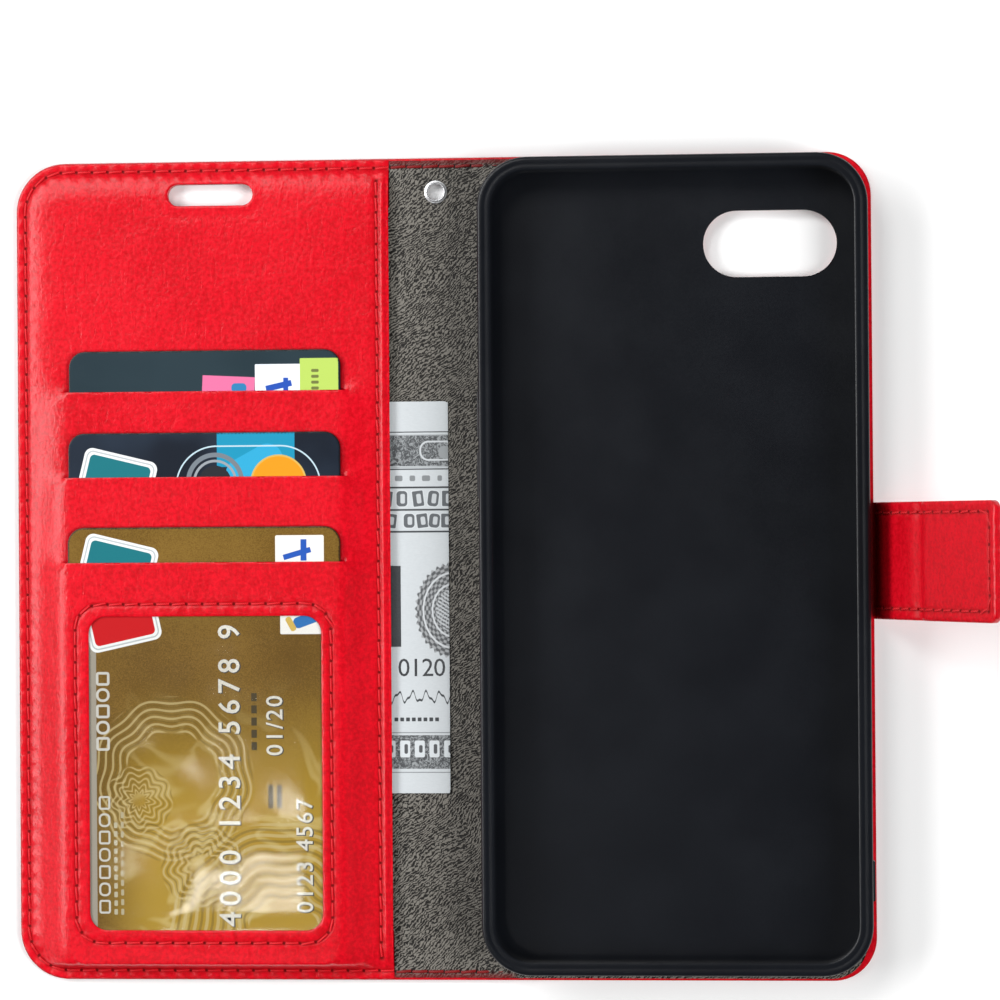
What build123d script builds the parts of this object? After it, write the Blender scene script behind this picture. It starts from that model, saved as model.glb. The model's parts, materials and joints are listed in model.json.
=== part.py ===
"""Wallet case for a phone: two leather covers joined by a spine, a rubber phone tray, card slits and a strap.

The case lies open and flat with its inside up. Millimetres; +Z is up from the table, +Y is towards the
top of the phone and +X runs from the front cover across the spine to the back cover. The origin is on the
outer face of the spine, midway across and midway along.
"""
from build123d import *
import os

os.makedirs("parts", exist_ok=True)

# Covers and folds
case_half_length = 80.8
cover_width = 77.7
front_cover_trim = 1.4
front_fold_x = -6.9
back_fold_x = 8.0
front_edge_x = front_fold_x - cover_width + front_cover_trim
back_edge_x = back_fold_x + cover_width
front_corner_r = 9.7
back_corner_r = 8.5
skin_t = 0.6
fold_z = skin_t / 2
skin_setback = 0.45
fold_clearance = 0.15

# Layers inside the covers
lining_t = 0.3
thin_lining_t = 0.2
padding_t = 0.3
board_t = 0.4
board_side_inset = 5.7
board_end_inset = 4.4
spine_height = skin_t + lining_t
lining_setback = spine_height - fold_z + fold_clearance
closed_thickness = back_fold_x - front_fold_x + skin_t

# Phone tray
tray_x0 = 9.2
tray_x1 = back_edge_x - 0.8
tray_y0 = -case_half_length + 1.8
tray_y1 = case_half_length - 0.8
tray_corner_r = 9.8
tray_wall = 1.3
tray_floor = 0.7
phone_depth = 7.1
lip_t = 0.4
lip_reach = 1.4
adhesive_t = 0.1
adhesive_inset = 5.0
tray_z = skin_t + board_t + thin_lining_t + adhesive_t
seat_z = tray_z + tray_floor
lip_z = seat_z + phone_depth
tray_top_z = lip_z + lip_t

# Cut-outs in the tray and the back cover
camera_x = 66.0
camera_y = 63.0
camera_length = 26.0
camera_width = 13.0
skin_margin = 0.6
port_x = 47.0
port_width = 14.0
port_height = 5.4
jack_x = 66.0
jack_r = 3.4
speaker_x = 28.0
speaker_width = 13.0
speaker_height = 4.6

# Key covers: middle along the case, length, and which tray wall carries them
key_height = 2.4
key_proud = 0.45
key_gap = 0.3
key_travel = 0.3
left_keys = {"key_cover_upper": (30.0, 9.0), "key_cover_lower": (18.3, 8.8)}
right_keys = {"key_cover_side": (-60.8, 7.8)}

# Card pocket panel
panel_t = 0.3
panel_edge_inset = 0.2
panel_right_x = -8.8
note_gap = 0.3
divider_t = 0.15
card_w = 53.98
card_l = 85.6
card_t = 0.76
card_r = 3.18
card_x = -45.4
card_gap = 0.03
card_count = 3
slit_y = (35.3, 18.4, 1.6)
card_top_y = (43.3, 27.1, 8.5)
slit_half_w = 28.2
plateau_margin = 29.6
liner_t = 0.1
liner_half_w = 29.0
window_x = -45.25
window_y = -39.8
window_w = 46.1
window_l = 61.6
window_r = 3.4
film_t = 0.1
film_border = 3.2
ear_x = -44.2
ear_y = 74.1
ear_length = 17.0
ear_width = 4.3

pocket_z = skin_t + padding_t + board_t
divider_z = pocket_z + thin_lining_t + note_gap
panel_z = divider_z + divider_t
card_step = panel_t + card_t + 2 * card_gap
strip_z = [panel_z + k * card_step for k in range(card_count)]
strip_z.append(panel_z + card_count * card_step + film_t)

# Banknote, folded in half, lying in the cash pocket
note_x0 = -67.4
note_x1 = 2.6
note_y0 = -44.1
note_y1 = 32.9
note_t = 0.2
note_lift = 0.05

# Lanyard eyelet
eyelet_x = 0.5
eyelet_y = 74.1
eyelet_bore_r = 1.6
eyelet_wall = 0.25
flange_r = 2.3
flange_t = 0.25
washer_t = 0.3

# Closing strap
strap_y = 1.0
strap_w = 22.7
strap_fold_x = back_edge_x + skin_setback
strap_lean = 60.0
strap_inner_t = 0.6
strap_core_t = 0.5
strap_flap_l = 27.0
strap_corner_r = 2.0
strap_rest_gap = 0.2
strap_tab_l = 10.0
flap_height = skin_t + strap_core_t + strap_inner_t
flap_fold_s = closed_thickness + strap_rest_gap + flap_height - 2 * fold_z
magnet_size = 10.0
magnet_s = flap_fold_s + 20.0
keeper_x = front_fold_x - (strap_fold_x - 20.0 - back_fold_x)


def slab(x0, x1, y0, y1, z0, z1, r_left=0.0, r_right=0.0):
    """Flat plate, with its corners rounded at either end of X."""
    plate = Pos((x0 + x1) / 2, (y0 + y1) / 2, (z0 + z1) / 2) * Box(x1 - x0, y1 - y0, z1 - z0)
    for end, radius in ((x0, r_left), (x1, r_right)):
        if radius > 0:
            upright = plate.edges().filter_by(Axis.Z)
            corners = upright.filter_by_position(Axis.X, end - 0.01, end + 0.01)
            plate = fillet(corners, radius)
    return plate


def sheet_over(points, thickness, y0, y1):
    """Sheet that follows a line of (x, z) points and runs straight along Y."""
    below = [Vector(x, y0, z) for x, z in points]
    above = [Vector(x, y0, z + thickness) for x, z in reversed(points)]
    face = Face(Wire.make_polygon(below + above, close=True))
    return extrude(face, amount=y1 - y0, dir=(0, 1, 0))


def slot_cutter(x, y, length, width, z0, z1):
    """Round-ended cutter that stands on the XY plane, long along X."""
    outline = SlotOverall(length, width) if length > width else Circle(width / 2)
    return Pos(x, y, z0) * extrude(outline, amount=z1 - z0)


def camera_cutter(grow, z0, z1):
    """Cutter for the camera cut-out, wider by the given margin on every side."""
    return slot_cutter(camera_x, camera_y, camera_length + 2 * grow, camera_width + 2 * grow, z0, z1)


def ear_cutter():
    """Cutter for the earpiece slot, through every layer of the front cover."""
    return slot_cutter(ear_x, ear_y, ear_length, ear_width, -1, strip_z[-1] + 1)


# ---------------------------------------------------------------- back cover


def back_skin():
    """Outer leather of the back cover."""
    plate = slab(back_fold_x + skin_setback, back_edge_x, -case_half_length, case_half_length,
                 0, skin_t, r_right=back_corner_r)
    return plate - camera_cutter(skin_margin, -1, skin_t + 1)


def back_board():
    """Stiff board in the back cover, notched for the root of the strap."""
    board = slab(back_fold_x + 2.3, back_edge_x - board_side_inset / 2, -case_half_length + board_end_inset,
                 case_half_length - board_end_inset, skin_t, skin_t + board_t, r_right=back_corner_r / 2)
    notch = slab(back_edge_x - strap_tab_l - 0.3, back_edge_x + 1, strap_y - strap_w / 2 - 0.3,
                 strap_y + strap_w / 2 + 0.3, 0, skin_t + board_t + 1)
    return board - notch - camera_cutter(2 * skin_margin, 0, 3)


def back_lining():
    """Textile-backed lining that steps up from the spine onto the back board."""
    line = [(back_fold_x + lining_setback, skin_t), (back_fold_x + 1.4, skin_t),
            (back_fold_x + 2.1, skin_t + board_t), (tray_x1 - 1.0, skin_t + board_t)]
    sheet = sheet_over(line, thin_lining_t, -case_half_length + 1.0, case_half_length - 1.0)
    return sheet - camera_cutter(2 * skin_margin, 0, 3)


def tray_adhesive():
    """Adhesive sheet that holds the tray to the lining."""
    sheet = slab(tray_x0 + adhesive_inset, tray_x1 - adhesive_inset, tray_y0 + adhesive_inset,
                 tray_y1 - adhesive_inset, tray_z - adhesive_t, tray_z)
    return sheet - camera_cutter(2 * skin_margin, 0, 3)


def strap_tab():
    """Root of the strap, glued between the outer leather and the lining."""
    return slab(back_edge_x - strap_tab_l, back_edge_x - 0.2, strap_y - strap_w / 2,
                strap_y + strap_w / 2, skin_t, skin_t + board_t)


def key_middle_z():
    """Height of the phone's keys above the table."""
    return seat_z + phone_depth / 2


def key_window(middle_y, length, x0, x1):
    """Cutter for the opening in a tray wall round one key cover."""
    return slab(x0, x1, middle_y - length / 2 - key_gap, middle_y + length / 2 + key_gap,
                key_middle_z() - key_height / 2 - key_gap, key_middle_z() + key_height / 2 + key_gap)


def phone_tray():
    """Rubber tray: floor, walls and an inward lip that holds the phone."""
    body = slab(tray_x0, tray_x1, tray_y0, tray_y1, tray_z, tray_top_z, tray_corner_r, tray_corner_r)
    body = fillet(body.faces().sort_by(Axis.Z)[-1].edges(), 0.35)
    body = fillet(body.faces().sort_by(Axis.Z)[0].edges(), 0.5)
    cavity_r = tray_corner_r - tray_wall
    cavity = slab(tray_x0 + tray_wall, tray_x1 - tray_wall, tray_y0 + tray_wall, tray_y1 - tray_wall,
                  seat_z, lip_z, cavity_r, cavity_r)
    rim = tray_wall + lip_reach
    mouth = slab(tray_x0 + rim, tray_x1 - rim, tray_y0 + rim, tray_y1 - rim,
                 seat_z, tray_top_z + 1, tray_corner_r - rim, tray_corner_r - rim)
    body = body - cavity - mouth - camera_cutter(0, 0, seat_z + 1)
    middle = key_middle_z()
    port = slab(port_x - port_width / 2, port_x + port_width / 2, tray_y0 - 1, tray_y0 + tray_wall + 1,
                middle - port_height / 2, middle + port_height / 2)
    speaker = slab(speaker_x - speaker_width / 2, speaker_x + speaker_width / 2, tray_y0 - 1,
                   tray_y0 + tray_wall + 1, middle - speaker_height / 2, middle + speaker_height / 2)
    jack = Pos(jack_x, tray_y0 + tray_wall / 2, middle) * Rot(90, 0, 0) * Cylinder(jack_r, tray_wall + 2)
    body = body - port - speaker - jack
    for middle_y, length in left_keys.values():
        body -= key_window(middle_y, length, tray_x0 - 1, tray_x0 + tray_wall + 1)
    for middle_y, length in right_keys.values():
        body -= key_window(middle_y, length, tray_x1 - tray_wall - 1, tray_x1 + 1)
    return body


def key_cover(middle_y, length, outer_x, inward):
    """Key cover bar; its outer face stands proud of the tray wall."""
    depth = key_proud + tray_wall - key_travel
    bar = Box(depth, length, key_height)
    face = bar.faces().sort_by(Axis.X)[0 if inward > 0 else -1]
    bar = fillet(face.edges(), 0.35)
    return Pos(outer_x + inward * depth / 2, middle_y, key_middle_z()) * bar


# ---------------------------------------------------------------- spine


def spine_skin():
    """Outer leather of the spine, sunk round the eyelet's flange."""
    plate = slab(front_fold_x + skin_setback, back_fold_x - skin_setback, -case_half_length,
                 case_half_length, 0, skin_t)
    hole = Pos(eyelet_x, eyelet_y, skin_t / 2) * Cylinder(eyelet_bore_r + eyelet_wall, 2 * skin_t)
    seat = Pos(eyelet_x, eyelet_y, flange_t / 2) * Cylinder(flange_r, flange_t)
    return plate - hole - seat


def spine_lining():
    """Grained lining of the spine."""
    plate = slab(front_fold_x + skin_setback, back_fold_x - skin_setback, -case_half_length + 1.0,
                 case_half_length - 1.0, skin_t, spine_height)
    hole = Pos(eyelet_x, eyelet_y, skin_t) * Cylinder(eyelet_bore_r + eyelet_wall, 4 * skin_t)
    return plate - hole


def eyelet_barrel():
    """Barrel and outer flange of the lanyard eyelet."""
    length = spine_height + washer_t
    flange = Pos(eyelet_x, eyelet_y, flange_t / 2) * Cylinder(flange_r, flange_t)
    barrel = Pos(eyelet_x, eyelet_y, length / 2) * Cylinder(eyelet_bore_r + eyelet_wall, length)
    bore = Pos(eyelet_x, eyelet_y, length / 2) * Cylinder(eyelet_bore_r, 3 * length)
    return flange + barrel - bore


def eyelet_washer():
    """Washer that the barrel is rolled over on the inside."""
    middle_z = spine_height + washer_t / 2
    ring = Pos(eyelet_x, eyelet_y, middle_z) * Cylinder(flange_r, washer_t)
    return ring - Pos(eyelet_x, eyelet_y, middle_z) * Cylinder(eyelet_bore_r + eyelet_wall, 2 * washer_t)


# ---------------------------------------------------------------- front cover


def front_plate(z0, z1, side_inset, end_inset, right_x):
    """Plate that follows the front cover's outline at an inset."""
    radius = max(front_corner_r - max(side_inset, end_inset), 1.5)
    return slab(front_edge_x + side_inset, right_x, -case_half_length + end_inset,
                case_half_length - end_inset, z0, z1, r_left=radius)


def front_skin():
    """Outer leather of the front cover."""
    return front_plate(0, skin_t, 0, 0, front_fold_x - skin_setback) - ear_cutter()


def keeper_block(grow, z0, z1):
    """Block of the keeper plate's outline, wider by the given margin on every side."""
    half = magnet_size / 2 + grow
    return slab(keeper_x - half, keeper_x + half, strap_y - half, strap_y + half, z0, z1)


def front_padding():
    """Thin foam between the outer leather and the board, open round the keeper plate."""
    foam = front_plate(skin_t, skin_t + padding_t, board_side_inset, board_end_inset, front_fold_x - 3.5)
    return foam - keeper_block(0.2, 0, skin_t + padding_t + 1) - ear_cutter()


def front_board():
    """Stiff board in the front cover."""
    z0 = skin_t + padding_t
    return front_plate(z0, z0 + board_t, board_side_inset, board_end_inset, front_fold_x - 3.5) - ear_cutter()


def front_lining():
    """Lining that steps up from the spine onto the board and backs the cash pocket."""
    line = [(front_edge_x + board_side_inset, pocket_z), (front_fold_x - 3.3, pocket_z),
            (front_fold_x - 2.5, skin_t), (front_fold_x - lining_setback, skin_t)]
    return sheet_over(line, thin_lining_t, -case_half_length + 3.0, case_half_length - 3.0) - ear_cutter()


def pocket_divider():
    """Wall between the cash pocket and the card pockets."""
    return front_plate(divider_z, divider_z + divider_t, board_side_inset, 3.0, panel_right_x - 0.2) - ear_cutter()


def frustum(z0, z1, lower, upper):
    """Solid with sloping sides between two rectangles given as (x0, x1, y0, y1)."""
    faces = []
    for z, (x0, x1, y0, y1) in ((z0, lower), (z1, upper)):
        corners = [Vector(x0, y0, z), Vector(x1, y0, z), Vector(x1, y1, z), Vector(x0, y1, z)]
        faces.append(Face(Wire.make_polygon(corners, close=True)))
    return loft(faces, ruled=True)


def panel_dome(level, rise):
    """Filled shape under one level of the pocket panel, raised by the given amount."""
    foot = (front_edge_x + 2.8, panel_right_x + 2, -case_half_length + 1.4, case_half_length - 1.4)
    shoulder = (front_edge_x + 5.4, panel_right_x + 2, -case_half_length + 2.5, case_half_length - 2.8)
    dome = frustum(skin_t + rise, panel_z + rise, foot, shoulder)
    if level > panel_z:
        plateau = (card_x - plateau_margin, card_x + plateau_margin,
                   -case_half_length + 3.3, case_half_length - 3.3)
        base = (shoulder[0], panel_right_x - 3.2, shoulder[2], shoulder[3])
        dome += frustum(panel_z + rise, level + rise, base, plateau)
    return dome


def panel_level(level):
    """Sheet of the pocket panel at one level, before it is cut to its stretch of the cover."""
    flange = front_plate(skin_t, skin_t + panel_t, panel_edge_inset, panel_edge_inset, panel_right_x)
    return flange + panel_dome(level, panel_t) - panel_dome(level, 0)


def card_panel():
    """Pocket panel: one leather sheet that steps up over each card, with slits and a window."""
    reach = (front_edge_x - 1, panel_right_x)
    edges = [case_half_length + 1, *slit_y, -case_half_length - 1]
    panel = None
    for k, level in enumerate(strip_z):
        stretch = slab(*reach, edges[k + 1], edges[k], -1, 20)
        piece = panel_level(level) & stretch
        panel = piece if panel is None else panel + piece
    for k, y in enumerate(slit_y):
        band = slab(*reach, y - panel_t, y, -1, 20)
        riser = (panel_dome(strip_z[k + 1], panel_t) - panel_dome(strip_z[k], 0)) & band
        slit = slab(card_x - slit_half_w, card_x + slit_half_w, y - 2 * panel_t, y + panel_t,
                    strip_z[k] + panel_t, strip_z[k + 1] - (film_t if k == card_count - 1 else 0))
        panel += riser - slit
    window = slab(window_x - window_w / 2, window_x + window_w / 2, window_y - window_l / 2,
                  window_y + window_l / 2, strip_z[-1] - 1, strip_z[-1] + 1, window_r, window_r)
    outline = front_plate(-1, 20, panel_edge_inset, panel_edge_inset, panel_right_x)
    return (panel - window - ear_cutter()) & outline


def window_film():
    """Clear film stitched behind the window."""
    return slab(window_x - window_w / 2 - film_border, window_x + window_w / 2 + film_border,
                window_y - window_l / 2 - film_border, window_y + window_l / 2 + film_border,
                strip_z[-1] - film_t, strip_z[-1])


def pocket_liner(k):
    """Thin fabric back of one card pocket, hung from the upper edge of its slit."""
    foot = card_top_y[k] - card_l - (0.1 if k == card_count - 1 else 1.0)
    z0 = strip_z[k]
    return slab(card_x - liner_half_w, card_x + liner_half_w, foot, slit_y[k] - panel_t, z0, z0 + liner_t)


def card(k):
    """Card of the standard size, standing out of its slit."""
    z0 = strip_z[k] + panel_t + card_gap
    return slab(card_x - card_w / 2, card_x + card_w / 2, card_top_y[k] - card_l, card_top_y[k],
                z0, z0 + card_t, card_r, card_r)


def banknote():
    """Folded note that lies on the spine's lining and reaches into the cash pocket."""
    low_z = spine_height + note_lift
    high_z = pocket_z + thin_lining_t + note_lift
    line = [(note_x0, high_z), (front_fold_x - 3.0, high_z), (front_fold_x - 1.7, low_z), (note_x1, low_z)]
    return sheet_over(line, note_t, note_y0, note_y1)


def front_keeper():
    """Steel plate in the front cover that the strap's magnet holds to."""
    return keeper_block(0, skin_t, skin_t + padding_t)


# ---------------------------------------------------------------- strap


def lean(shape):
    """Turn a flat strap piece up about the strap's root fold to its resting angle."""
    root = (strap_fold_x, 0, fold_z)
    return Pos(*root) * Rot(0, -strap_lean, 0) * Pos(-root[0], -root[1], -root[2]) * shape


def strap_slab(s0, s1, z0, z1, inset=0.0, end_r=0.0):
    """Plate across the strap between two distances from the root fold."""
    half = strap_w / 2 - inset
    return slab(strap_fold_x + s0, strap_fold_x + s1, strap_y - half, strap_y + half, z0, z1, r_right=end_r)


def strap_pieces():
    """Leathers, core and magnet of the strap, leaning at rest."""
    inner_setback = skin_t + strap_inner_t - fold_z + fold_clearance
    flap_setback = flap_height - fold_z + fold_clearance
    tip = flap_fold_s + strap_flap_l
    core_z = skin_t + strap_core_t
    half = magnet_size / 2
    magnet = slab(strap_fold_x + magnet_s - half, strap_fold_x + magnet_s + half, strap_y - half,
                  strap_y + half, skin_t, core_z)
    room = slab(strap_fold_x + magnet_s - half - 0.1, strap_fold_x + magnet_s + half + 0.1,
                strap_y - half - 0.1, strap_y + half + 0.1, 0, core_z + 1)
    core = strap_slab(flap_fold_s + inner_setback + 0.2, tip - 1.2, skin_t, core_z, 1.2, 1.0) - room
    flat = {
        "strap_side_outer": strap_slab(skin_setback, flap_fold_s - skin_setback, 0, skin_t),
        "strap_side_inner": strap_slab(inner_setback, flap_fold_s - flap_setback, skin_t,
                                       skin_t + strap_inner_t),
        "strap_flap_outer": strap_slab(flap_fold_s + skin_setback, tip, 0, skin_t, 0, strap_corner_r),
        "strap_flap_core": core,
        "strap_magnet": magnet,
        "strap_flap_inner": strap_slab(flap_fold_s + inner_setback, tip, core_z, flap_height, 0,
                                       strap_corner_r),
    }
    return {name: lean(shape) for name, shape in flat.items()}


nodes = {
    "back_skin": back_skin(),
    "back_board": back_board(),
    "back_lining": back_lining(),
    "tray_adhesive": tray_adhesive(),
    "strap_tab": strap_tab(),
    "phone_tray": phone_tray(),
    "spine_skin": spine_skin(),
    "spine_lining": spine_lining(),
    "eyelet_barrel": eyelet_barrel(),
    "eyelet_washer": eyelet_washer(),
    "front_skin": front_skin(),
    "front_padding": front_padding(),
    "front_keeper": front_keeper(),
    "front_board": front_board(),
    "front_lining": front_lining(),
    "pocket_divider": pocket_divider(),
    "card_panel": card_panel(),
    "window_film": window_film(),
    "banknote": banknote(),
}
for k in range(card_count):
    nodes[f"pocket_liner_{k + 1}"] = pocket_liner(k)
    nodes[f"card_{k + 1}"] = card(k)
for name, (middle_y, length) in left_keys.items():
    nodes[name] = key_cover(middle_y, length, tray_x0 - key_proud, 1)
for name, (middle_y, length) in right_keys.items():
    nodes[name] = key_cover(middle_y, length, tray_x1 + key_proud, -1)
nodes.update(strap_pieces())

for name, shape in nodes.items():
    export_step(shape, f"parts/{name}.step")
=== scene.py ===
"""Looks of the wallet case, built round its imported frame.

Lengths in this script are millimetres until a mesh is made, and metres from then on. The case lies open
and flat: +X runs from the card cover across the spine to the tray cover, +Y towards the top of the phone
and +Z up.
"""
import json
import math

import bpy
import numpy as np
from mathutils import Matrix, Vector
from mathutils.geometry import delaunay_2d_cdt
from mathutils.kdtree import KDTree


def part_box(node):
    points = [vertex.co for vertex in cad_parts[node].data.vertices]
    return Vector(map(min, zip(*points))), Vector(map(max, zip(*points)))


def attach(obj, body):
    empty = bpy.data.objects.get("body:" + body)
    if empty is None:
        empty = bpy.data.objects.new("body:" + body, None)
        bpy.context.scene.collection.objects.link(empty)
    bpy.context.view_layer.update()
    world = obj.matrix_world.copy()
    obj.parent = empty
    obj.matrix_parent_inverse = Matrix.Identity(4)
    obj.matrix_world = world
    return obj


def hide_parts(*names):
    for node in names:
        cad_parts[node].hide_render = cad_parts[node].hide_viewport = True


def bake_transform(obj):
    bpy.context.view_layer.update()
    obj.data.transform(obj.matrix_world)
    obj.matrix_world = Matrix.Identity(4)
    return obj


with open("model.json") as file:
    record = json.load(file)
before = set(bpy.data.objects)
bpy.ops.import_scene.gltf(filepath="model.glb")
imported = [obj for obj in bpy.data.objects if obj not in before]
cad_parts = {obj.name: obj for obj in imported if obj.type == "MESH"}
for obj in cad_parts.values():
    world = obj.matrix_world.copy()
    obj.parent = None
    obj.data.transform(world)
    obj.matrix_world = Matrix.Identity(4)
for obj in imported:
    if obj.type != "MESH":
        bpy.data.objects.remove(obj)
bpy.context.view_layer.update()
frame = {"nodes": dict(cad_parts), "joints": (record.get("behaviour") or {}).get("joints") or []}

MM = 0.001


def limits(node):
    """Lowest x, y, z and highest x, y, z of a frame node, in millimetres."""
    low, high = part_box(node)
    return [value / MM for value in (*low, *high)]


joint_at = {joint["name"]: [value / MM for value in joint.get("pos_m", (0, 0, 0))]
            for joint in frame["joints"]}
front_x0, case_y0, _, _, case_y1, skin_t = limits("front_skin")
back_x1 = limits("back_skin")[3]
front_fold_x = joint_at["cover_fold"][0]
back_fold_x, _, fold_z = joint_at["spine_fold"]
strap_root_x = joint_at["strap_root_fold"][0]
flap_x, _, flap_z = joint_at["strap_flap_fold"]
FRONT_R, BACK_R = 9.7, 8.5
STITCH_INSET, PITCH = 1.8, 3.13
SPLIT_X = -2.5  # where the halves of the leather and the lining meet, in the middle of the spine
FOLD_REACH = 1.9  # reach either side of a crease; the fold helpers work it out but bend nothing
CARD_R = 3.18
FAR = 999.0  # farther than anything in the case


# ------------------------------------------------------------------ shading


class Wire:
    """One output of a shader node, so that shading maths reads as plain Python."""

    def __init__(self, finish, node, output=0):
        self.finish, self.node, self.socket = finish, node, node.outputs[output]

    def other(self, output):
        return Wire(self.finish, self.node, output)

    def maths(self, operation, *values):
        return self.finish.maths(operation, self, *values)

    def __add__(self, value):
        return self.maths("ADD", value)

    def __sub__(self, value):
        return self.maths("SUBTRACT", value)

    def __mul__(self, value):
        return self.maths("MULTIPLY", value)

    def __truediv__(self, value):
        return self.maths("DIVIDE", value)

    def __rsub__(self, value):
        return self.finish.maths("SUBTRACT", value, self)

    def __abs__(self):
        return self.maths("ABSOLUTE")

    def __neg__(self):
        return self * -1

    __radd__, __rmul__ = __add__, __mul__

    def ramp(self, low, high):
        """0 below low and 1 above high, smooth between."""
        return self.finish.node("ShaderNodeMapRange", {"interpolation_type": "SMOOTHSTEP"},
                                {"Value": self, "From Min": low, "From Max": high})


class Finish:
    """A material under construction."""

    def __init__(self, name):
        self.material = bpy.data.materials.new(name)
        self.material.use_nodes = True
        self.tree = self.material.node_tree
        self.tree.nodes.clear()
        self.end = self.tree.nodes.new("ShaderNodeOutputMaterial")

    def node(self, kind, settings=None, sockets=None, output=0):
        """Make a node: its settings first, then the values or links of its sockets."""
        node = self.tree.nodes.new(kind)
        for name, value in (settings or {}).items():
            setattr(node, name, value)
        for name, value in (sockets or {}).items():
            socket = node.inputs[name]
            if isinstance(value, Wire):
                self.tree.links.new(value.socket, socket)
            elif hasattr(value, "__len__") and len(socket.default_value) == 4 and len(value) == 3:
                socket.default_value = (*value, 1.0)
            else:
                socket.default_value = value
        return Wire(self, node, output)

    def maths(self, operation, *values):
        return self.node("ShaderNodeMath", {"operation": operation}, dict(enumerate(values)))

    def place(self, scale=(1000, 1000, 1000), turn=0.0):
        """Object coordinates, in millimetres unless another scale is given, turned about Z."""
        at = self.node("ShaderNodeTexCoord", output="Object")
        return self.node("ShaderNodeMapping", {}, {"Vector": at, "Scale": scale, "Rotation": (0, 0, turn)})

    def axes(self):
        """Object x and y in millimetres, as two wires."""
        split = self.node("ShaderNodeSeparateXYZ", {}, {0: self.place()})
        return split.other("X"), split.other("Y")

    def noise(self, at, scale, detail=3.0, rough=0.55, distort=0.0):
        return self.node("ShaderNodeTexNoise", {"noise_dimensions": "3D"},
                         {"Vector": at, "Scale": scale, "Detail": detail, "Roughness": rough,
                          "Distortion": distort}, "Fac")

    def cells(self, at, scale):
        return self.node("ShaderNodeTexVoronoi", {"feature": "SMOOTH_F1"},
                         {"Vector": at, "Scale": scale}, "Distance")

    def point_value(self, name):
        """A value stored on the mesh's points."""
        return self.node("ShaderNodeAttribute", {"attribute_name": name}, {}, "Fac")

    def mix(self, share, first, second):
        """Mix two colours."""
        return self.node("ShaderNodeMix", {"data_type": "RGBA"}, {0: share, 6: first, 7: second}, 2)

    def bumps(self, height, distance, strength=1.0, below=None):
        sockets = {"Height": height, "Distance": distance, "Strength": strength}
        if below:
            sockets["Normal"] = below
        return self.node("ShaderNodeBump", {}, sockets)

    def surface(self, sockets):
        """A principled surface, joined to the material's end."""
        shader = self.node("ShaderNodeBsdfPrincipled", {}, sockets)
        self.tree.links.new(shader.socket, self.end.inputs["Surface"])
        return self.material


LEATHER_DEEP, LEATHER_BRIGHT = (0.49, 0.0010, 0.0060), (0.71, 0.0026, 0.0140)
LEATHER_SLANT = 0.75


def leather():
    """Smooth coated leather: soft pebbled grain, a few long creases, painted shade in the needle holes and
    stitch grooves, darker cut edges with a painted shadow line round each card, and a satin coat.
    """
    f = Finish("leather_red")
    at = f.place()
    slanted = f.place(turn=LEATHER_SLANT)
    stretched = f.place((1700, 620, 1000), LEATHER_SLANT)
    pebbles = f.cells(at, 1.35)
    pores = f.noise(at, 1.3, 4.0, 0.62)
    creases = f.noise(stretched, 0.42, 4.0, 0.6, 1.1)
    long_lines = 1 - abs(f.noise(slanted, 0.11, 3.0, 0.6, 0.8) - 0.5) * 16
    cloud = f.noise(at, 0.035, 2.0, 0.5)
    hole, groove = f.point_value("hole"), f.point_value("groove")
    tone = (cloud * 0.18 + pores * 0.60 + creases * 0.22).ramp(0.36, 0.62)
    colour = f.mix(tone, LEATHER_DEEP, LEATHER_BRIGHT)
    # Painted shade: darker red in the stitch grooves.
    colour = f.mix(groove * 0.75, colour, (0.30, 0.0008, 0.002))
    # Painted shade: near-black red in the needle holes.
    colour = f.mix((hole * 1.3).ramp(0.3, 1.0) * 0.85, colour, (0.12, 0.0006, 0.001))
    # Darker along cut edges and slit lips; round each card's top this is a painted shadow line.
    colour = f.mix(f.point_value("edge").ramp(0.2, 1.0) * 0.6, colour, (0.26, 0.001, 0.002))
    grain = f.bumps(pebbles * 0.6 + pores * 0.55, 0.00009, 0.75)
    relief = f.bumps(creases * 0.8 + long_lines.ramp(0.0, 1.0) * 0.10, 0.00022, 0.6, grain)
    rough = (pores - 0.5) * 0.14 + (cloud - 0.5) * 0.10 + 0.33 + hole * 0.6 + groove * 0.25
    return f.surface({"Base Color": colour, "Roughness": rough, "Normal": relief, "Specular IOR Level": 0.32,
                      "Coat Weight": 0.04, "Coat Roughness": 0.2})


def lining_cloth(name="lining_grey", dark=(0.010, 0.009, 0.008), light=(0.205, 0.192, 0.168), edge_tint=True):
    """Grained lining: worm-like wrinkles with pale backs and near-black valleys."""
    f = Finish(name)
    at = f.place()
    x, y = f.axes()
    drift, wander = f.noise(at, 0.07, 2.0, 0.5), f.noise(at, 1.1, 2.0, 0.6)
    across = x * -7.4 + y * 8.6 + drift * 75 + wander * 16
    breaks = f.noise(at, 1.45, 2.0, 0.5, 0.4)
    worms = across.maths("SINE") * 0.46 + 0.52 + (breaks - 0.5) * 2.3
    fine = f.noise(at, 4.2, 3.0, 0.6)
    height = worms.ramp(0.05, 0.85) * 0.85 + fine * 0.25
    tone = (height * 0.9 + (drift - 0.5) * 0.3).ramp(0.10, 1.05)
    colour = f.mix(tone, dark, light)
    if edge_tint:
        colour = f.mix(f.point_value("edge") * 0.8, colour, (0.15, 0.004, 0.005))
    # Painted shade: darker in the seam's needle holes.
    colour = f.mix((f.point_value("hole") * 1.4).ramp(0.2, 1.0), colour, (0.02, 0.004, 0.004))
    relief = f.bumps(height, 0.00018, 0.85)
    return f.surface({"Base Color": colour, "Roughness": fine * 0.2 + 0.5, "Normal": relief,
                      "Specular IOR Level": 0.35})


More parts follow.
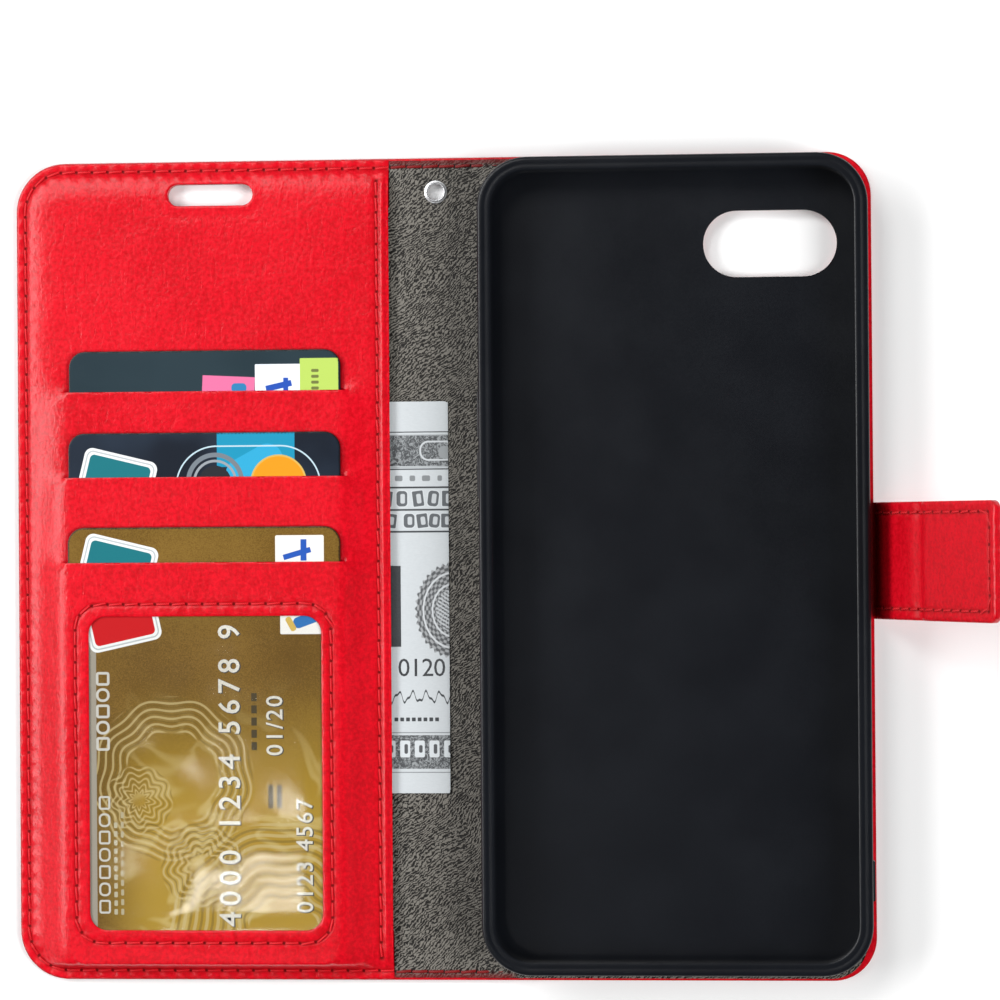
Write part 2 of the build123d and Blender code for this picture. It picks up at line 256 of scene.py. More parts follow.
def woven(name, dark, light, pitch=0.35):
    """Plain weave of fine threads."""
    f = Finish(name)
    x, y = f.axes()
    turn = 2 * math.pi / pitch
    over = (x * turn).maths("SINE") * (y * turn).maths("SINE")
    fuzz = f.noise(f.place(), 3.0, 3.0)
    tone = (over * 0.35 + 0.3 + fuzz * 0.4).ramp(0.1, 0.9)
    return f.surface({"Base Color": f.mix(tone, dark, light), "Roughness": fuzz * 0.1 + 0.80,
                      "Normal": f.bumps(over + fuzz, 0.00006, 0.8)})


def moulded(name, dark, light, roughness, grain, depth, metallic=0.0, gloss=0.5):
    """Moulded, cast or pressed material with a fine even texture."""
    f = Finish(name)
    at = f.place()
    fine, cloud = f.noise(at, grain, 4.0, 0.6), f.noise(at, 0.06, 3.0, 0.55)
    tone = (cloud * 0.6 + fine * 0.4).ramp(0.35, 0.68)
    return f.surface({"Base Color": f.mix(tone, dark, light), "Metallic": metallic,
                      "Specular IOR Level": gloss,
                      "Roughness": (fine - 0.5) * 0.16 + (cloud - 0.5) * 0.14 + roughness,
                      "Normal": f.bumps(fine, depth, 0.7)})


def thread(name="thread_red", dark=(0.46, 0.0030, 0.0080), light=(0.80, 0.0100, 0.0200)):
    """Twisted sewing thread: slanting plies."""
    f = Finish(name)
    x, y = f.axes()
    ply = ((x + y) * (2 * math.pi / 0.42)).maths("SINE") * 0.5 + 0.5
    fuzz = f.noise(f.place(), 6.0, 3.0)
    return f.surface({"Base Color": f.mix((ply * 0.6 + fuzz * 0.4).ramp(0.15, 0.8), dark, light),
                      "Roughness": fuzz * 0.2 + 0.5, "Normal": f.bumps(ply, 0.00004, 0.8)})


def clear_film():
    """Clear vinyl: see-through, with a soft gloss that is stronger at a slant."""
    f = Finish("film_clear")
    ripples = f.noise(f.place(), 0.050, 1.0, 0.5, 0.3)
    scuffs = f.noise(f.place((400, 2600, 1000), 0.5), 0.6, 4.0, 0.7)
    normal = f.bumps(ripples + scuffs * 0.004, 0.0014, 0.6)
    gloss = f.node("ShaderNodeBsdfGlossy", {},
                   {"Color": (0.9, 0.9, 0.88), "Roughness": 0.12, "Normal": normal})
    clear = f.node("ShaderNodeBsdfTransparent", {}, {"Color": (0.985, 0.985, 0.98)})
    outer_face = 1 - f.node("ShaderNodeNewGeometry", output="Backfacing")
    slant = f.node("ShaderNodeFresnel", {}, {"IOR": 1.5, "Normal": normal})
    share = (slant * 1.2 + scuffs * 0.010) * outer_face
    both = f.node("ShaderNodeMixShader", {}, {0: share, 1: clear, 2: gloss})
    f.tree.links.new(both.socket, f.end.inputs["Surface"])
    return f.material


class Print:
    """Flat artwork laid over a base colour, in millimetres on the object's own x and y."""

    def __init__(self, finish, base):
        self.f, self.colour = finish, base
        self.x, self.y = finish.axes()

    def lay(self, mask, colour):
        self.colour = self.f.mix(mask, self.colour, colour)

    def inside(self, cx, cy, w, h, r=0.0, turn=0.0):
        """How far outside a rounded, turned box each point is: below 0 is inside."""
        c, s = math.cos(turn), math.sin(turn)
        dx, dy = self.x - cx, self.y - cy
        across, along = abs(dx * c + dy * s) - (w / 2 - r), abs(dy * c - dx * s) - (h / 2 - r)
        a, b = across.maths("MAXIMUM", 0.0), along.maths("MAXIMUM", 0.0)
        corner = (a * a + b * b).maths("SQRT")
        return corner + across.maths("MAXIMUM", along).maths("MINIMUM", 0.0) - r

    def box(self, cx, cy, w, h, colour, r=0.0, turn=0.0):
        self.lay(1 - self.inside(cx, cy, w, h, r, turn).ramp(-0.05, 0.05), colour)

    def outline(self, cx, cy, w, h, width, colour, r=0.0, turn=0.0):
        self.lay(1 - (abs(self.inside(cx, cy, w, h, r, turn)) - width / 2).ramp(-0.04, 0.04), colour)

    def badge(self, cx, cy, w, h, colour, turn):
        """Rounded badge with a pale border and a thin grey line round it."""
        self.box(cx, cy, w, h, (0.80, 0.82, 0.82), 1.6, turn)
        self.outline(cx, cy, w - 1.2, h - 1.2, 0.28, (0.45, 0.48, 0.50), 1.2, turn)
        self.box(cx, cy, w - 2.4, h - 2.4, colour, 0.9, turn)


def card_surface(name, base_dark, base_light, art, roughness=0.36, sparkle=0.0):
    """Printed plastic card with a laminated gloss."""
    f = Finish(name)
    fleck, cloud = f.noise(f.place(), 5.0, 2.0), f.noise(f.place(), 0.05, 2.0)
    tone = (cloud * (1 - sparkle) + fleck * sparkle).ramp(0.35, 0.65)
    sheet = Print(f, f.mix(tone, base_dark, base_light))
    art(sheet)
    # Painted shade: the card goes near black along its rim, as a dark line round it.
    colour = f.mix(f.point_value("edge").ramp(0.0, 0.7) * 0.85, sheet.colour, (0.004, 0.004, 0.005))
    return f.surface({"Base Color": colour, "Roughness": fleck * 0.08 + roughness,
                      "Specular IOR Level": 0.25, "Coat Weight": 0.03, "Coat Roughness": 0.12,
                      "Normal": f.bumps(fleck, 0.00002, 0.3)})


BADGE_TEAL, BADGE_RED = (0.010, 0.16, 0.19), (0.55, 0.006, 0.010)
SIGN_BLUE = (0.02, 0.08, 0.42)


def slate_art(p):
    """Top card: pink, white and green labels, with a blue sign and small bars."""
    top = 35.3
    p.box(-40.6, top + 0.8, 10.4, 4.2, (0.72, 0.16, 0.33), 0.1, -0.05)
    p.box(-38.5, top + 0.6, 3.0, 1.8, (0.03, 0.20, 0.42), 0.8)
    p.box(-30.4, top + 1.2, 9.8, 8.0, (0.80, 0.85, 0.91), 0.2)
    p.box(-30.6, top + 0.9, 5.2, 1.2, SIGN_BLUE, 0.1, 0.22)
    p.box(-29.2, top + 1.2, 1.0, 2.6, SIGN_BLUE, 0.1)
    p.box(-22.6, top + 1.8, 7.6, 9.0, (0.46, 0.63, 0.12), 0.2)
    for step in range(4):
        p.box(-23.4, top + 0.4 + step * 1.15, 1.5, 0.6, (0.16, 0.18, 0.05), 0.25)


def navy_art(p):
    """Middle card: a badge, a ringed lens and an orange disc on blue fields."""
    top = 18.4
    p.box(-35.1, top + 6.2, 15.4, 8.6, (0.012, 0.27, 0.44), 0.4)
    p.box(-35.4, top + 2.0, 12.0, 6.0, (0.03, 0.36, 0.60), 3.0, 0.5)
    p.outline(-43.2, top - 1.0, 10.6, 10.6, 0.9, (0.17, 0.20, 0.23), 5.3)
    p.outline(-43.2, top - 1.0, 8.2, 8.2, 0.5, (0.30, 0.33, 0.36), 4.1)
    p.box(-43.2, top - 1.0, 6.4, 6.4, (0.02, 0.022, 0.028), 3.2)
    p.box(-30.6, top - 1.3, 10.8, 10.8, (0.83, 0.30, 0.012), 5.4)
    p.outline(-30.6, top - 1.3, 10.8, 10.8, 0.35, (0.62, 0.42, 0.10), 5.4)
    p.outline(-36.6, top - 3.0, 28.6, 18.0, 0.28, (0.50, 0.66, 0.74), 8.0)
    p.badge(-62.8, top - 0.6, 14.8, 10.4, BADGE_TEAL, -0.24)


def bronze_art(p):
    """Low card: waves in rings, a strip of blocks and bars, badges and labels."""
    high, left = -9.0, -68.3
    # Gold towards the card's foot, under the window: partly the card's print, partly painted light making up
    # for the light the film holds back.
    foot = ((p.y * -1 - 18.0) / 34.0).ramp(0.0, 1.0) * ((p.x - left) / 14.0).ramp(0.0, 1.0)
    p.lay(foot * 0.92, (0.40, 0.255, 0.026))
    swirl = p.f.noise(p.f.place(), 0.055, 2.0, 0.5, 1.4)
    p.lay((swirl.ramp(0.52, 0.58) - swirl.ramp(0.60, 0.66)) * 0.35 * foot, (0.66, 0.55, 0.25))
    for cx, cy, inner, outer, pitch in ((-52.0, -41.0, 9.0, 16.5, 1.5), (-58.5, -45.0, 1.0, 7.0, 1.2),
                                        (-30.0, -72.0, 7.0, 23.0, 2.2), (-46.0, -58.0, 2.0, 8.5, 1.4)):
        dx, dy = p.x - cx, p.y - cy
        away = (dx * dx + dy * dy).maths("SQRT")
        turn = dy.maths("ARCTAN2", dx)
        wave = ((away + (turn * 9).maths("SINE") * 0.5) * (2 * math.pi / pitch)).maths("SINE")
        band = away.ramp(inner, inner + 0.6) * (1 - away.ramp(outer - 0.6, outer))
        p.lay(wave.ramp(0.35, 0.85) * band * 0.65, (0.52, 0.42, 0.20))
        p.lay((-wave).ramp(0.55, 0.95) * band * 0.5, (0.14, 0.09, 0.015))
    p.box(left - 0.9, -40.0, 4.6, 62.0, (0.33, 0.30, 0.25), 0.5)
    for step in range(7):
        p.outline(-65.4, -66.0 + step * 3.4, 1.9, 2.3, 0.4, (0.55, 0.54, 0.50), 0.3 + 0.5 * (step % 2))
    for step in range(5):
        p.outline(-65.6, -34.0 + step * 3.2, 2.2, 2.2, 0.5, (0.55, 0.54, 0.50), 0.3 + 0.7 * (step % 2))
    for step in range(11):
        p.box(-63.2, -67.0 + step * 1.7, 0.7, 1.1, (0.46, 0.42, 0.30), 0.2)
        p.box(-61.9, -67.0 + step * 1.9, 0.6, 1.2, (0.42, 0.37, 0.24), 0.2)
    for step in range(5):
        p.box(-35.6, -34.5 + step * 2.4, 1.1, 1.6, (0.06, 0.045, 0.02), 0.1)
    for step in range(2):
        p.box(-32.4 + step * 1.7, -44.4, 1.0, 4.6, (0.07, 0.05, 0.02), 0.1)
    p.badge(-61.8, high - 0.6, 14.6, 10.6, BADGE_RED, 0.22)
    p.badge(-62.6, 1.6 - 1.2, 14.8, 11.4, BADGE_TEAL, -0.24)
    p.box(-26.0, high + 0.6, 8.6, 8.4, (0.80, 0.79, 0.76), 0.3)
    p.box(-25.2, high - 0.8, 5.2, 2.2, (0.03, 0.16, 0.44), 1.0, 0.35)
    p.box(-28.2, high - 1.6, 1.2, 3.0, (0.60, 0.42, 0.10), 0.5, 0.5)
    p.box(-26.4, 3.6, 9.6, 6.4, (0.82, 0.80, 0.74), 0.35)
    p.box(-26.9, 3.2, 5.6, 1.1, (0.02, 0.09, 0.42), 0.1, 0.28)
    p.box(-25.6, 3.9, 1.2, 4.2, (0.02, 0.09, 0.42), 0.1)


def note_paper():
    """Banknote paper with engraved bands, a toothed rosette and fine ruled lines."""
    f = Finish("note_paper")
    fibres = f.noise(f.place((1000, 4000, 1000)), 1.2, 4.0, 0.6)
    p = Print(f, f.mix(fibres, (0.50, 0.535, 0.555), (0.60, 0.635, 0.655)))
    ink, mid = (0.045, 0.05, 0.055), (0.22, 0.235, 0.245)
    swirl = f.noise(f.place(), 1.1, 4.0, 0.65, 2.0)
    engraved = f.mix(swirl.ramp(0.44, 0.60), (0.065, 0.07, 0.075), (0.30, 0.32, 0.33))
    note_x, width = -3.1, 15.0
    for y, h in ((23.2, 6.0), (-36.0, 6.6)):
        p.lay(1 - p.inside(note_x, y, width, h).ramp(-0.05, 0.05), engraved)
    for y, h, colour in ((26.9, 0.2, ink), (19.6, 0.25, ink), (20.0, 0.12, mid), (16.0, 0.35, ink),
                         (11.6, 0.35, ink), (7.3, 0.35, ink), (-32.2, 0.18, mid), (-40.0, 0.18, mid),
                         (26.3, 0.12, mid)):
        p.box(note_x, y, width, h, colour)
    for row_y, tall, steps in ((13.8, 3.2, (-9.6, -6.6, -3.4, -0.4, 2.4)),
                               (9.45, 2.9, (-8.8, -5.2, -2.6, -0.2, 2.2))):
        for k, at_x in enumerate(steps):
            corner, tilt = 0.3 + 0.5 * (k % 2), 0.12 * (k % 3 - 1)
            p.box(at_x, row_y, 2.3, tall, (0.11, 0.12, 0.13), corner, tilt)
            p.box(at_x + 0.15, row_y, 0.9, tall - 1.3, (0.52, 0.55, 0.57), 0.3, tilt)
            p.outline(at_x, row_y, 2.3, tall, 0.16, (0.62, 0.66, 0.68), corner, tilt)
    for k in range(5):
        p.box(-9.2 + k * 2.9, -35.4, 2.0, 3.3, (0.60, 0.64, 0.66), 0.35)
        p.box(-9.0 + k * 2.9, -35.4, 0.7, 1.5 + 0.4 * (k % 2), (0.08, 0.085, 0.09), 0.3)
    p.outline(0.4, 23.2, 6.6, 3.6, 0.35, (0.55, 0.58, 0.60), 1.6)
    p.box(2.2, 22.9, 3.0, 2.4, (0.30, 0.32, 0.33), 0.9)
    dx, dy = p.x - 3.4, (p.y + 8.2) * 0.8
    away = (dx * dx + dy * dy).maths("SQRT")
    turn = dy.maths("ARCTAN2", dx)
    teeth = (turn * 40).maths("SINE") * 0.22
    disc = 1 - (away + teeth).ramp(7.2, 7.5)
    lace = ((away * 7.0).maths("SINE") * (turn * 24).maths("SINE")).ramp(-0.4, 0.6)
    p.lay(disc, f.mix(lace, (0.09, 0.095, 0.10), (0.34, 0.355, 0.365)))
    for radius in (5.9, 4.1):
        p.lay((1 - (abs(away - radius) - 0.16).ramp(-0.05, 0.05)) * 0.9, (0.62, 0.65, 0.67))
    hatch = (p.y * 8 + p.x * 5).maths("SINE").ramp(-0.2, 0.4)
    p.lay((1 - away.ramp(3.3, 3.5)) * hatch * 0.8, (0.58, 0.61, 0.63))
    script = (p.x * 2.3).maths("SINE") * 0.9 + (p.x * 5.1).maths("SINE") * 0.35
    p.lay((1 - (abs(p.y + 25.2 - script) - 0.22).ramp(-0.06, 0.08)) * (p.x.ramp(-9.2, -8.9)), ink)
    for step in range(8):
        p.box(-8.0 + step * 1.15, -29.6, 0.75, 0.75, ink, 0.1)
    for step, w in enumerate((1.5, 1.1, 1.6, 0.9)):
        p.box(-7.2 + step * 2.7, 17.8, w, 1.1, mid, 0.3)
    return f.surface({"Base Color": p.colour, "Roughness": fibres * 0.1 + 0.68,
                      "Normal": f.bumps(fibres, 0.00003, 0.5)})


red = leather()
grey = lining_cloth()
pocket_grey = lining_cloth("lining_pocket", edge_tint=False)
red_thread = thread()
dark_thread = thread("thread_dark", (0.09, 0.002, 0.002), (0.30, 0.006, 0.008))
cloth = woven("liner_weave", (0.05, 0.05, 0.05), (0.16, 0.155, 0.15))
rubber = moulded("rubber_black", (0.0036, 0.0044, 0.0066), (0.0056, 0.0068, 0.0096), 0.36, 3.2, 0.00002,
                 gloss=0.32)
chrome = moulded("chrome_polished", (0.72, 0.73, 0.75), (0.90, 0.91, 0.92), 0.34, 2.0, 0.000004, 0.8)
board = moulded("board_pressed", (0.20, 0.18, 0.15), (0.32, 0.29, 0.25), 0.85, 2.2, 0.00006)
foam = moulded("foam_sheet", (0.50, 0.50, 0.48), (0.68, 0.68, 0.66), 0.92, 2.8, 0.00012)
glue = moulded("adhesive_film", (0.50, 0.48, 0.40), (0.62, 0.60, 0.52), 0.45, 1.5, 0.00003)
steel = moulded("steel_plate", (0.42, 0.43, 0.45), (0.58, 0.59, 0.60), 0.34, 3.0, 0.00001, 1.0)
magnet = moulded("magnet_plated", (0.30, 0.30, 0.31), (0.42, 0.42, 0.43), 0.28, 2.6, 0.00001, 1.0)
foil = moulded("foil_tips", (0.60, 0.58, 0.52), (0.80, 0.78, 0.72), 0.28, 3.0, 0.00001)
# Dark ink for the note's print; the same finish paints the shadow under the card's raised digits.
ink = moulded("ink_and_painted_shadow", (0.035, 0.038, 0.042), (0.07, 0.075, 0.08), 0.7, 3.5, 0.000008)
film = clear_film()
paper = note_paper()
slate = card_surface("card_slate", (0.015, 0.031, 0.041), (0.019, 0.037, 0.048), slate_art)
navy = card_surface("card_navy", (0.007, 0.011, 0.020), (0.016, 0.026, 0.044), navy_art)
bronze = card_surface("card_bronze", (0.120, 0.062, 0.008), (0.215, 0.122, 0.022), bronze_art, 0.34, 0.60)


# ------------------------------------------------------------------ outlines, rows and sheets


def soft(t):
    """0 to 1 with soft ends."""
    t = np.clip(t, 0, 1)
    return t * t * (3 - 2 * t)


def hill(away, width):
    """Smooth hump: 1 where away is 0, and falling off over the width."""
    return np.exp(-((away / width) ** 2))


def near_edge(away, reach):
    """1 at an edge, falling to 0 at the reach."""
    return np.clip(1 - away / reach, 0, 1)


def upright(x, y0, y1, count):
    """Evenly spaced points up a line of constant x."""
    return np.column_stack([np.full(count, x), np.linspace(y0, y1, count)])


def level_line(xs, y):
    """Points at the given x along a line of constant y."""
    return np.column_stack([xs, np.full(len(xs), y)])


def box_round(cx, cy, half_wide, half_tall):
    """x0, x1, y0, y1 of a box given by its middle."""
    return cx - half_wide, cx + half_wide, cy - half_tall, cy + half_tall


def arc(cx, cy, r, start, stop, steps=18):
    turns = np.radians(np.linspace(start, stop, steps))
    return np.stack([cx + r * np.cos(turns), cy + r * np.sin(turns)], 1)


def free_edge(fold_x, edge_x, y0, y1, r, inset=0.0):
    """Line from the fold round a cover's free edge and back to the fold, pulled in by an inset."""
    side = 1 if edge_x > fold_x else -1
    x, r = edge_x - side * inset, max(r - inset, 0.3)
    top, low = y1 - inset, y0 + inset
    sideways, down = (0, -90) if side > 0 else (180, 270)
    upper = arc(x - side * r, top - r, r, 90, sideways)
    lower = arc(x - side * r, low + r, r, sideways, down)
    return np.concatenate([[(fold_x, top)], upper, lower, [(fold_x, low)]])


def rounded(x0, x1, y0, y1, r, inset=0.0):
    """Closed line round a rectangle with rounded corners, pulled in by an inset."""
    x0, x1, y0, y1, r = x0 + inset, x1 - inset, y0 + inset, y1 - inset, max(r - inset, 0.15)
    corners = [(x1 - r, y1 - r, 0), (x0 + r, y1 - r, 90), (x0 + r, y0 + r, 180), (x1 - r, y0 + r, 270)]
    return np.concatenate([arc(cx, cy, r, a, a + 90, 14) for cx, cy, a in corners])


def depth_in(x, y, x0, x1, y0, y1, r):
    """How far inside a rounded rectangle each point lies."""
    across = np.abs(x - (x0 + x1) / 2) - ((x1 - x0) / 2 - r)
    along = np.abs(y - (y0 + y1) / 2) - ((y1 - y0) / 2 - r)
    corner = np.hypot(np.maximum(across, 0), np.maximum(along, 0))
    return r - corner - np.minimum(np.maximum(across, along), 0)


def even(line, step, closed=False):
    """A line's points again, evenly spaced."""
    if closed:
        line = np.concatenate([line, line[:1]])
    along = np.concatenate([[0], np.cumsum(np.hypot(*np.diff(line, axis=0).T))])
    count = max(2, round(along[-1] / step) + 1)
    at = np.linspace(0, along[-1], count)
    points = np.stack([np.interp(at, along, line[:, k]) for k in (0, 1)], 1)
    return points[:-1] if closed else points


class Row:
    """A row of stitches along a line: needle holes every pitch, and a stitch between each two."""

    def __init__(self, line, closed=False, pitch=PITCH, pucker=1.0):
        self.pucker = pucker
        whole = np.concatenate([line, line[:1]]) if closed else np.asarray(line, float)
        along = np.concatenate([[0], np.cumsum(np.hypot(*np.diff(whole, axis=0).T))])
        self.count = max(1, round(along[-1] / pitch))
        self.pitch, self.closed, self.length = along[-1] / self.count, closed, along[-1]
        self.line, self.along = whole, along
        self.travel = np.arange(0, along[-1], 0.08)
        self.tree = KDTree(len(self.travel))
        for i, point in enumerate(self.at(self.travel)):
            self.tree.insert((*point, 0), i)
        self.tree.balance()

    def at(self, travel):
        return np.stack([np.interp(travel, self.along, self.line[:, k]) for k in (0, 1)], 1)

    def stitches(self):
        return self.at((np.arange(self.count) + 0.5) * self.pitch)

    def beside(self, offsets, parts=8):
        """Points along the row and beside it, for a mesh that shows each stitch."""
        travel = np.arange(0, self.length + (0 if self.closed else 1e-6), self.pitch / parts)
        ahead, here = self.at(np.minimum(travel + 0.05, self.length)), self.at(travel)
        back = self.at(np.maximum(travel - 0.05, 0))
        run = ahead - back
        normal = np.stack([-run[:, 1], run[:, 0]], 1) / np.maximum(np.hypot(*run.T), 1e-9)[:, None]
        return np.concatenate([here + normal * offset for offset in offsets])

    def marks(self, x, y, reach=2.4):
        """Sink, needle-hole and groove values that this row presses into leather at each point."""
        sink, hole, groove = np.zeros(len(x)), np.zeros(len(x)), np.zeros(len(x))
        low, high = self.line.min(0) - reach, self.line.max(0) + reach
        for i in np.nonzero((x > low[0]) & (x < high[0]) & (y > low[1]) & (y < high[1]))[0]:
            _, k, away = self.tree.find((x[i], y[i], 0))
            if away > reach:
                continue
            phase = (self.travel[k] / self.pitch) % 1.0
            to_hole = math.hypot(away, min(phase, 1 - phase) * self.pitch)
            hole[i] = math.exp(-((to_hole / 0.42) ** 2))
            groove[i] = math.exp(-((away / 0.42) ** 2))
            pucker = 0.5 - 0.5 * math.cos(2 * math.pi * phase)
            sink[i] = (0.17 * groove[i] + 0.30 * hole[i]
                       - 0.13 * self.pucker * pucker * math.exp(-(((away - 1.05) / 0.62) ** 2))
                       + 0.09 * self.pucker * (1 - pucker) * math.exp(-(((away - 1.0) / 0.8) ** 2)))
        return sink, hole, groove


STITCH_SIDES = (-0.85, -0.5, -0.24, 0.0, 0.24, 0.5, 0.85)


def marks_of(rows, x, y):
    """The marks of several rows together."""
    total = [np.zeros(len(x)) for _ in range(3)]
    for row in rows:
        for kept, made in zip(total, row.marks(x, y)):
            kept += made
    return total


def ripple(x, y, size, seed, reach=18.0):
    """Slow unevenness of hand-laid leather."""
    made = np.zeros(len(x))
    r = np.random.default_rng(seed)
    for _ in range(7):
        turn, phase, wave = r.uniform(0, math.pi), r.uniform(0, 6.28), reach * r.uniform(0.6, 1.6)
        made += np.sin((x * math.cos(turn) + y * math.sin(turn)) * 2 * math.pi / wave + phase)
    return made * size / 2.6


def fill(outline, holes=(), cuts=(), lines=(), spacing=1.0):
    """Triangles that fill an outline, leave out the holes and keep points along the lines.

    holes are (line, depth test) pairs, and cuts are open lines along which edges must run.
    Returns the points and the triangles."""
    points, edges = [], []
    loops = [(outline, True), *[(hole, True) for hole, _ in holes], *[(cut, False) for cut in cuts]]
    for loop, closed in loops:
        first, count = len(points), len(loop)
        points.extend(map(tuple, loop))
        edges += [(first + i, first + (i + 1) % count) for i in range(count if closed else count - 1)]
    placed = np.array(points)
    extra = np.concatenate([np.asarray(line, float) for line in lines]) if len(lines) else np.zeros((0, 2))
    tree = KDTree(len(placed) + len(extra))
    for i, (a, b) in enumerate(placed):
        tree.insert((a, b, 0), i)
    tree.balance()
    kept = [p for p in extra if tree.find((p[0], p[1], 0))[2] > 0.05] if len(extra) else []
    tree = KDTree(len(placed) + len(kept))
    for i, (a, b) in enumerate([*placed, *kept]):
        tree.insert((a, b, 0), i)
    tree.balance()
    low, high = placed.min(0), placed.max(0)
    inner = []
    for j, y in enumerate(np.arange(low[1] + spacing / 2, high[1], spacing * 0.87)):
        for x in np.arange(low[0] + spacing * (0.5 if j % 2 else 0.25), high[0], spacing):
            if tree.find((x, y, 0))[2] > 0.62 * spacing:
                inner.append((x, y))
    every = points + [tuple(p) for p in kept] + inner
    made = delaunay_2d_cdt([Vector(p) for p in every], edges, [], 1, 1e-6)
    xy = np.array([tuple(v) for v in made[0]])
    tris = np.array([f for f in made[2] if len(f) == 3])
    centre = xy[tris].mean(1)
    keep = np.ones(len(tris), bool)
    for _, test in holes:
        keep &= test(centre[:, 0], centre[:, 1]) <= 0
    tris = tris[keep]
    a, b, c = (xy[tris[:, k]] for k in range(3))
    area = (b[:, 0] - a[:, 0]) * (c[:, 1] - a[:, 1]) - (b[:, 1] - a[:, 1]) * (c[:, 0] - a[:, 0])
    tris = tris[np.abs(area) > 1e-7]
    area = area[np.abs(area) > 1e-7]
    tris[area < 0] = tris[area < 0][:, ::-1]
    used, tris = np.unique(tris, return_inverse=True)
    return xy[used], tris.reshape(-1, 3)


def slit_open(xy, tris, cuts):
    """Split a filled sheet along straight cuts, so that each cut has two lips.

    Returns the points, the triangles and the lip each point is on: 1 above, -1 below, 0 elsewhere."""
    lip = np.zeros(len(xy))
    centre = xy[tris].mean(1)
    for x0, x1, y in cuts:
        on = np.nonzero((np.abs(xy[:, 1] - y) < 1e-4) & (xy[:, 0] > x0 + 1e-3) & (xy[:, 0] < x1 - 1e-3))[0]
        twin = {int(i): len(xy) + k for k, i in enumerate(on)}
        xy, lip = np.concatenate([xy, xy[on]]), np.concatenate([lip, -np.ones(len(on))])
        lip[on] = 1
        below = np.nonzero((centre[:, 1] < y) & np.isin(tris, on).any(1))[0]
        for t in below:
            tris[t] = [twin.get(int(i), i) for i in tris[t]]
    return xy, tris, lip


def sheet_mesh(name, xy, tris, top, bottom, finish, marks=None, place=None):
    """Closed sheet between two heights given at every point, in millimetres.

    place turns it into its final stance."""
    n = len(xy)
    points = np.concatenate([np.column_stack([xy, top]), np.column_stack([xy, bottom])])
    if place is not None:
        points = place(points)
    runs = np.concatenate([tris[:, [0, 1]], tris[:, [1, 2]], tris[:, [2, 0]]])
    pairs = {(int(a), int(b)) for a, b in runs}
    rim = [(a, b) for a, b in pairs if (b, a) not in pairs]
    faces = tris.tolist() + (tris[:, ::-1] + n).tolist() + [(a + n, b + n, b, a) for a, b in sorted(rim)]
    mesh = bpy.data.meshes.new(name)
    mesh.from_pydata((points * MM).tolist(), [], faces)
    for key in ("hole", "groove", "edge"):
        values = (marks or {}).get(key, np.zeros(n))
        layer = mesh.attributes.new(key, "FLOAT", "POINT")
        layer.data.foreach_set("value", np.tile(values, 2).astype(np.float32))
    return finished(name, mesh, finish)


def finished(name, mesh, finish, sharp=50):
    """A mesh object with its finish, shaded smooth up to an angle."""
    mesh.materials.clear()
    mesh.materials.append(finish)
    mesh.polygons.foreach_set("use_smooth", [True] * len(mesh.polygons))
    mesh.set_sharp_from_angle(angle=math.radians(sharp))
    mesh.update()
    piece = bpy.data.objects.new(name, mesh)
    bpy.context.scene.collection.objects.link(piece)
    return piece


def plain_mesh(piece):
    """The mesh that a piece's curve or modifiers come to."""
    bpy.context.view_layer.update()
    return bpy.data.meshes.new_from_object(piece.evaluated_get(bpy.context.evaluated_depsgraph_get()))


def baked(piece):
    """Turn a piece's modifiers into its plain mesh."""
    mesh = plain_mesh(piece)
    piece.modifiers.clear()
    piece.data = mesh
    return piece


def points_of(piece):
    """The points of a piece's mesh, in millimetres."""
    return np.array([vertex.co for vertex in piece.data.vertices]) / MM


def move_points(piece, points):
    """Put a piece's points elsewhere, given in millimetres."""
    piece.data.vertices.foreach_set("co", (points * MM).astype(np.float32).ravel())
    piece.data.update()


def lathe(name, profile, centre, finish, parts=48):
    """Closed ring from a closed profile of (radius, height), turned about Z."""
    verts, faces = [], []
    for i in range(parts):
        turn = 2 * math.pi * i / parts
        verts += [((centre[0] + r * math.cos(turn)) * MM, (centre[1] + r * math.sin(turn)) * MM, z * MM)
                  for r, z in profile]
    n = len(profile)
    for i in range(parts):
        a, b = i * n, (i + 1) % parts * n
        faces += [(a + k, b + k, b + (k + 1) % n, a + (k + 1) % n) for k in range(n)]
    mesh = bpy.data.meshes.new(name)
    mesh.from_pydata(verts, [], faces)
    return finished(name, mesh, finish, 60)


# ------------------------------------------------------------------ sewing


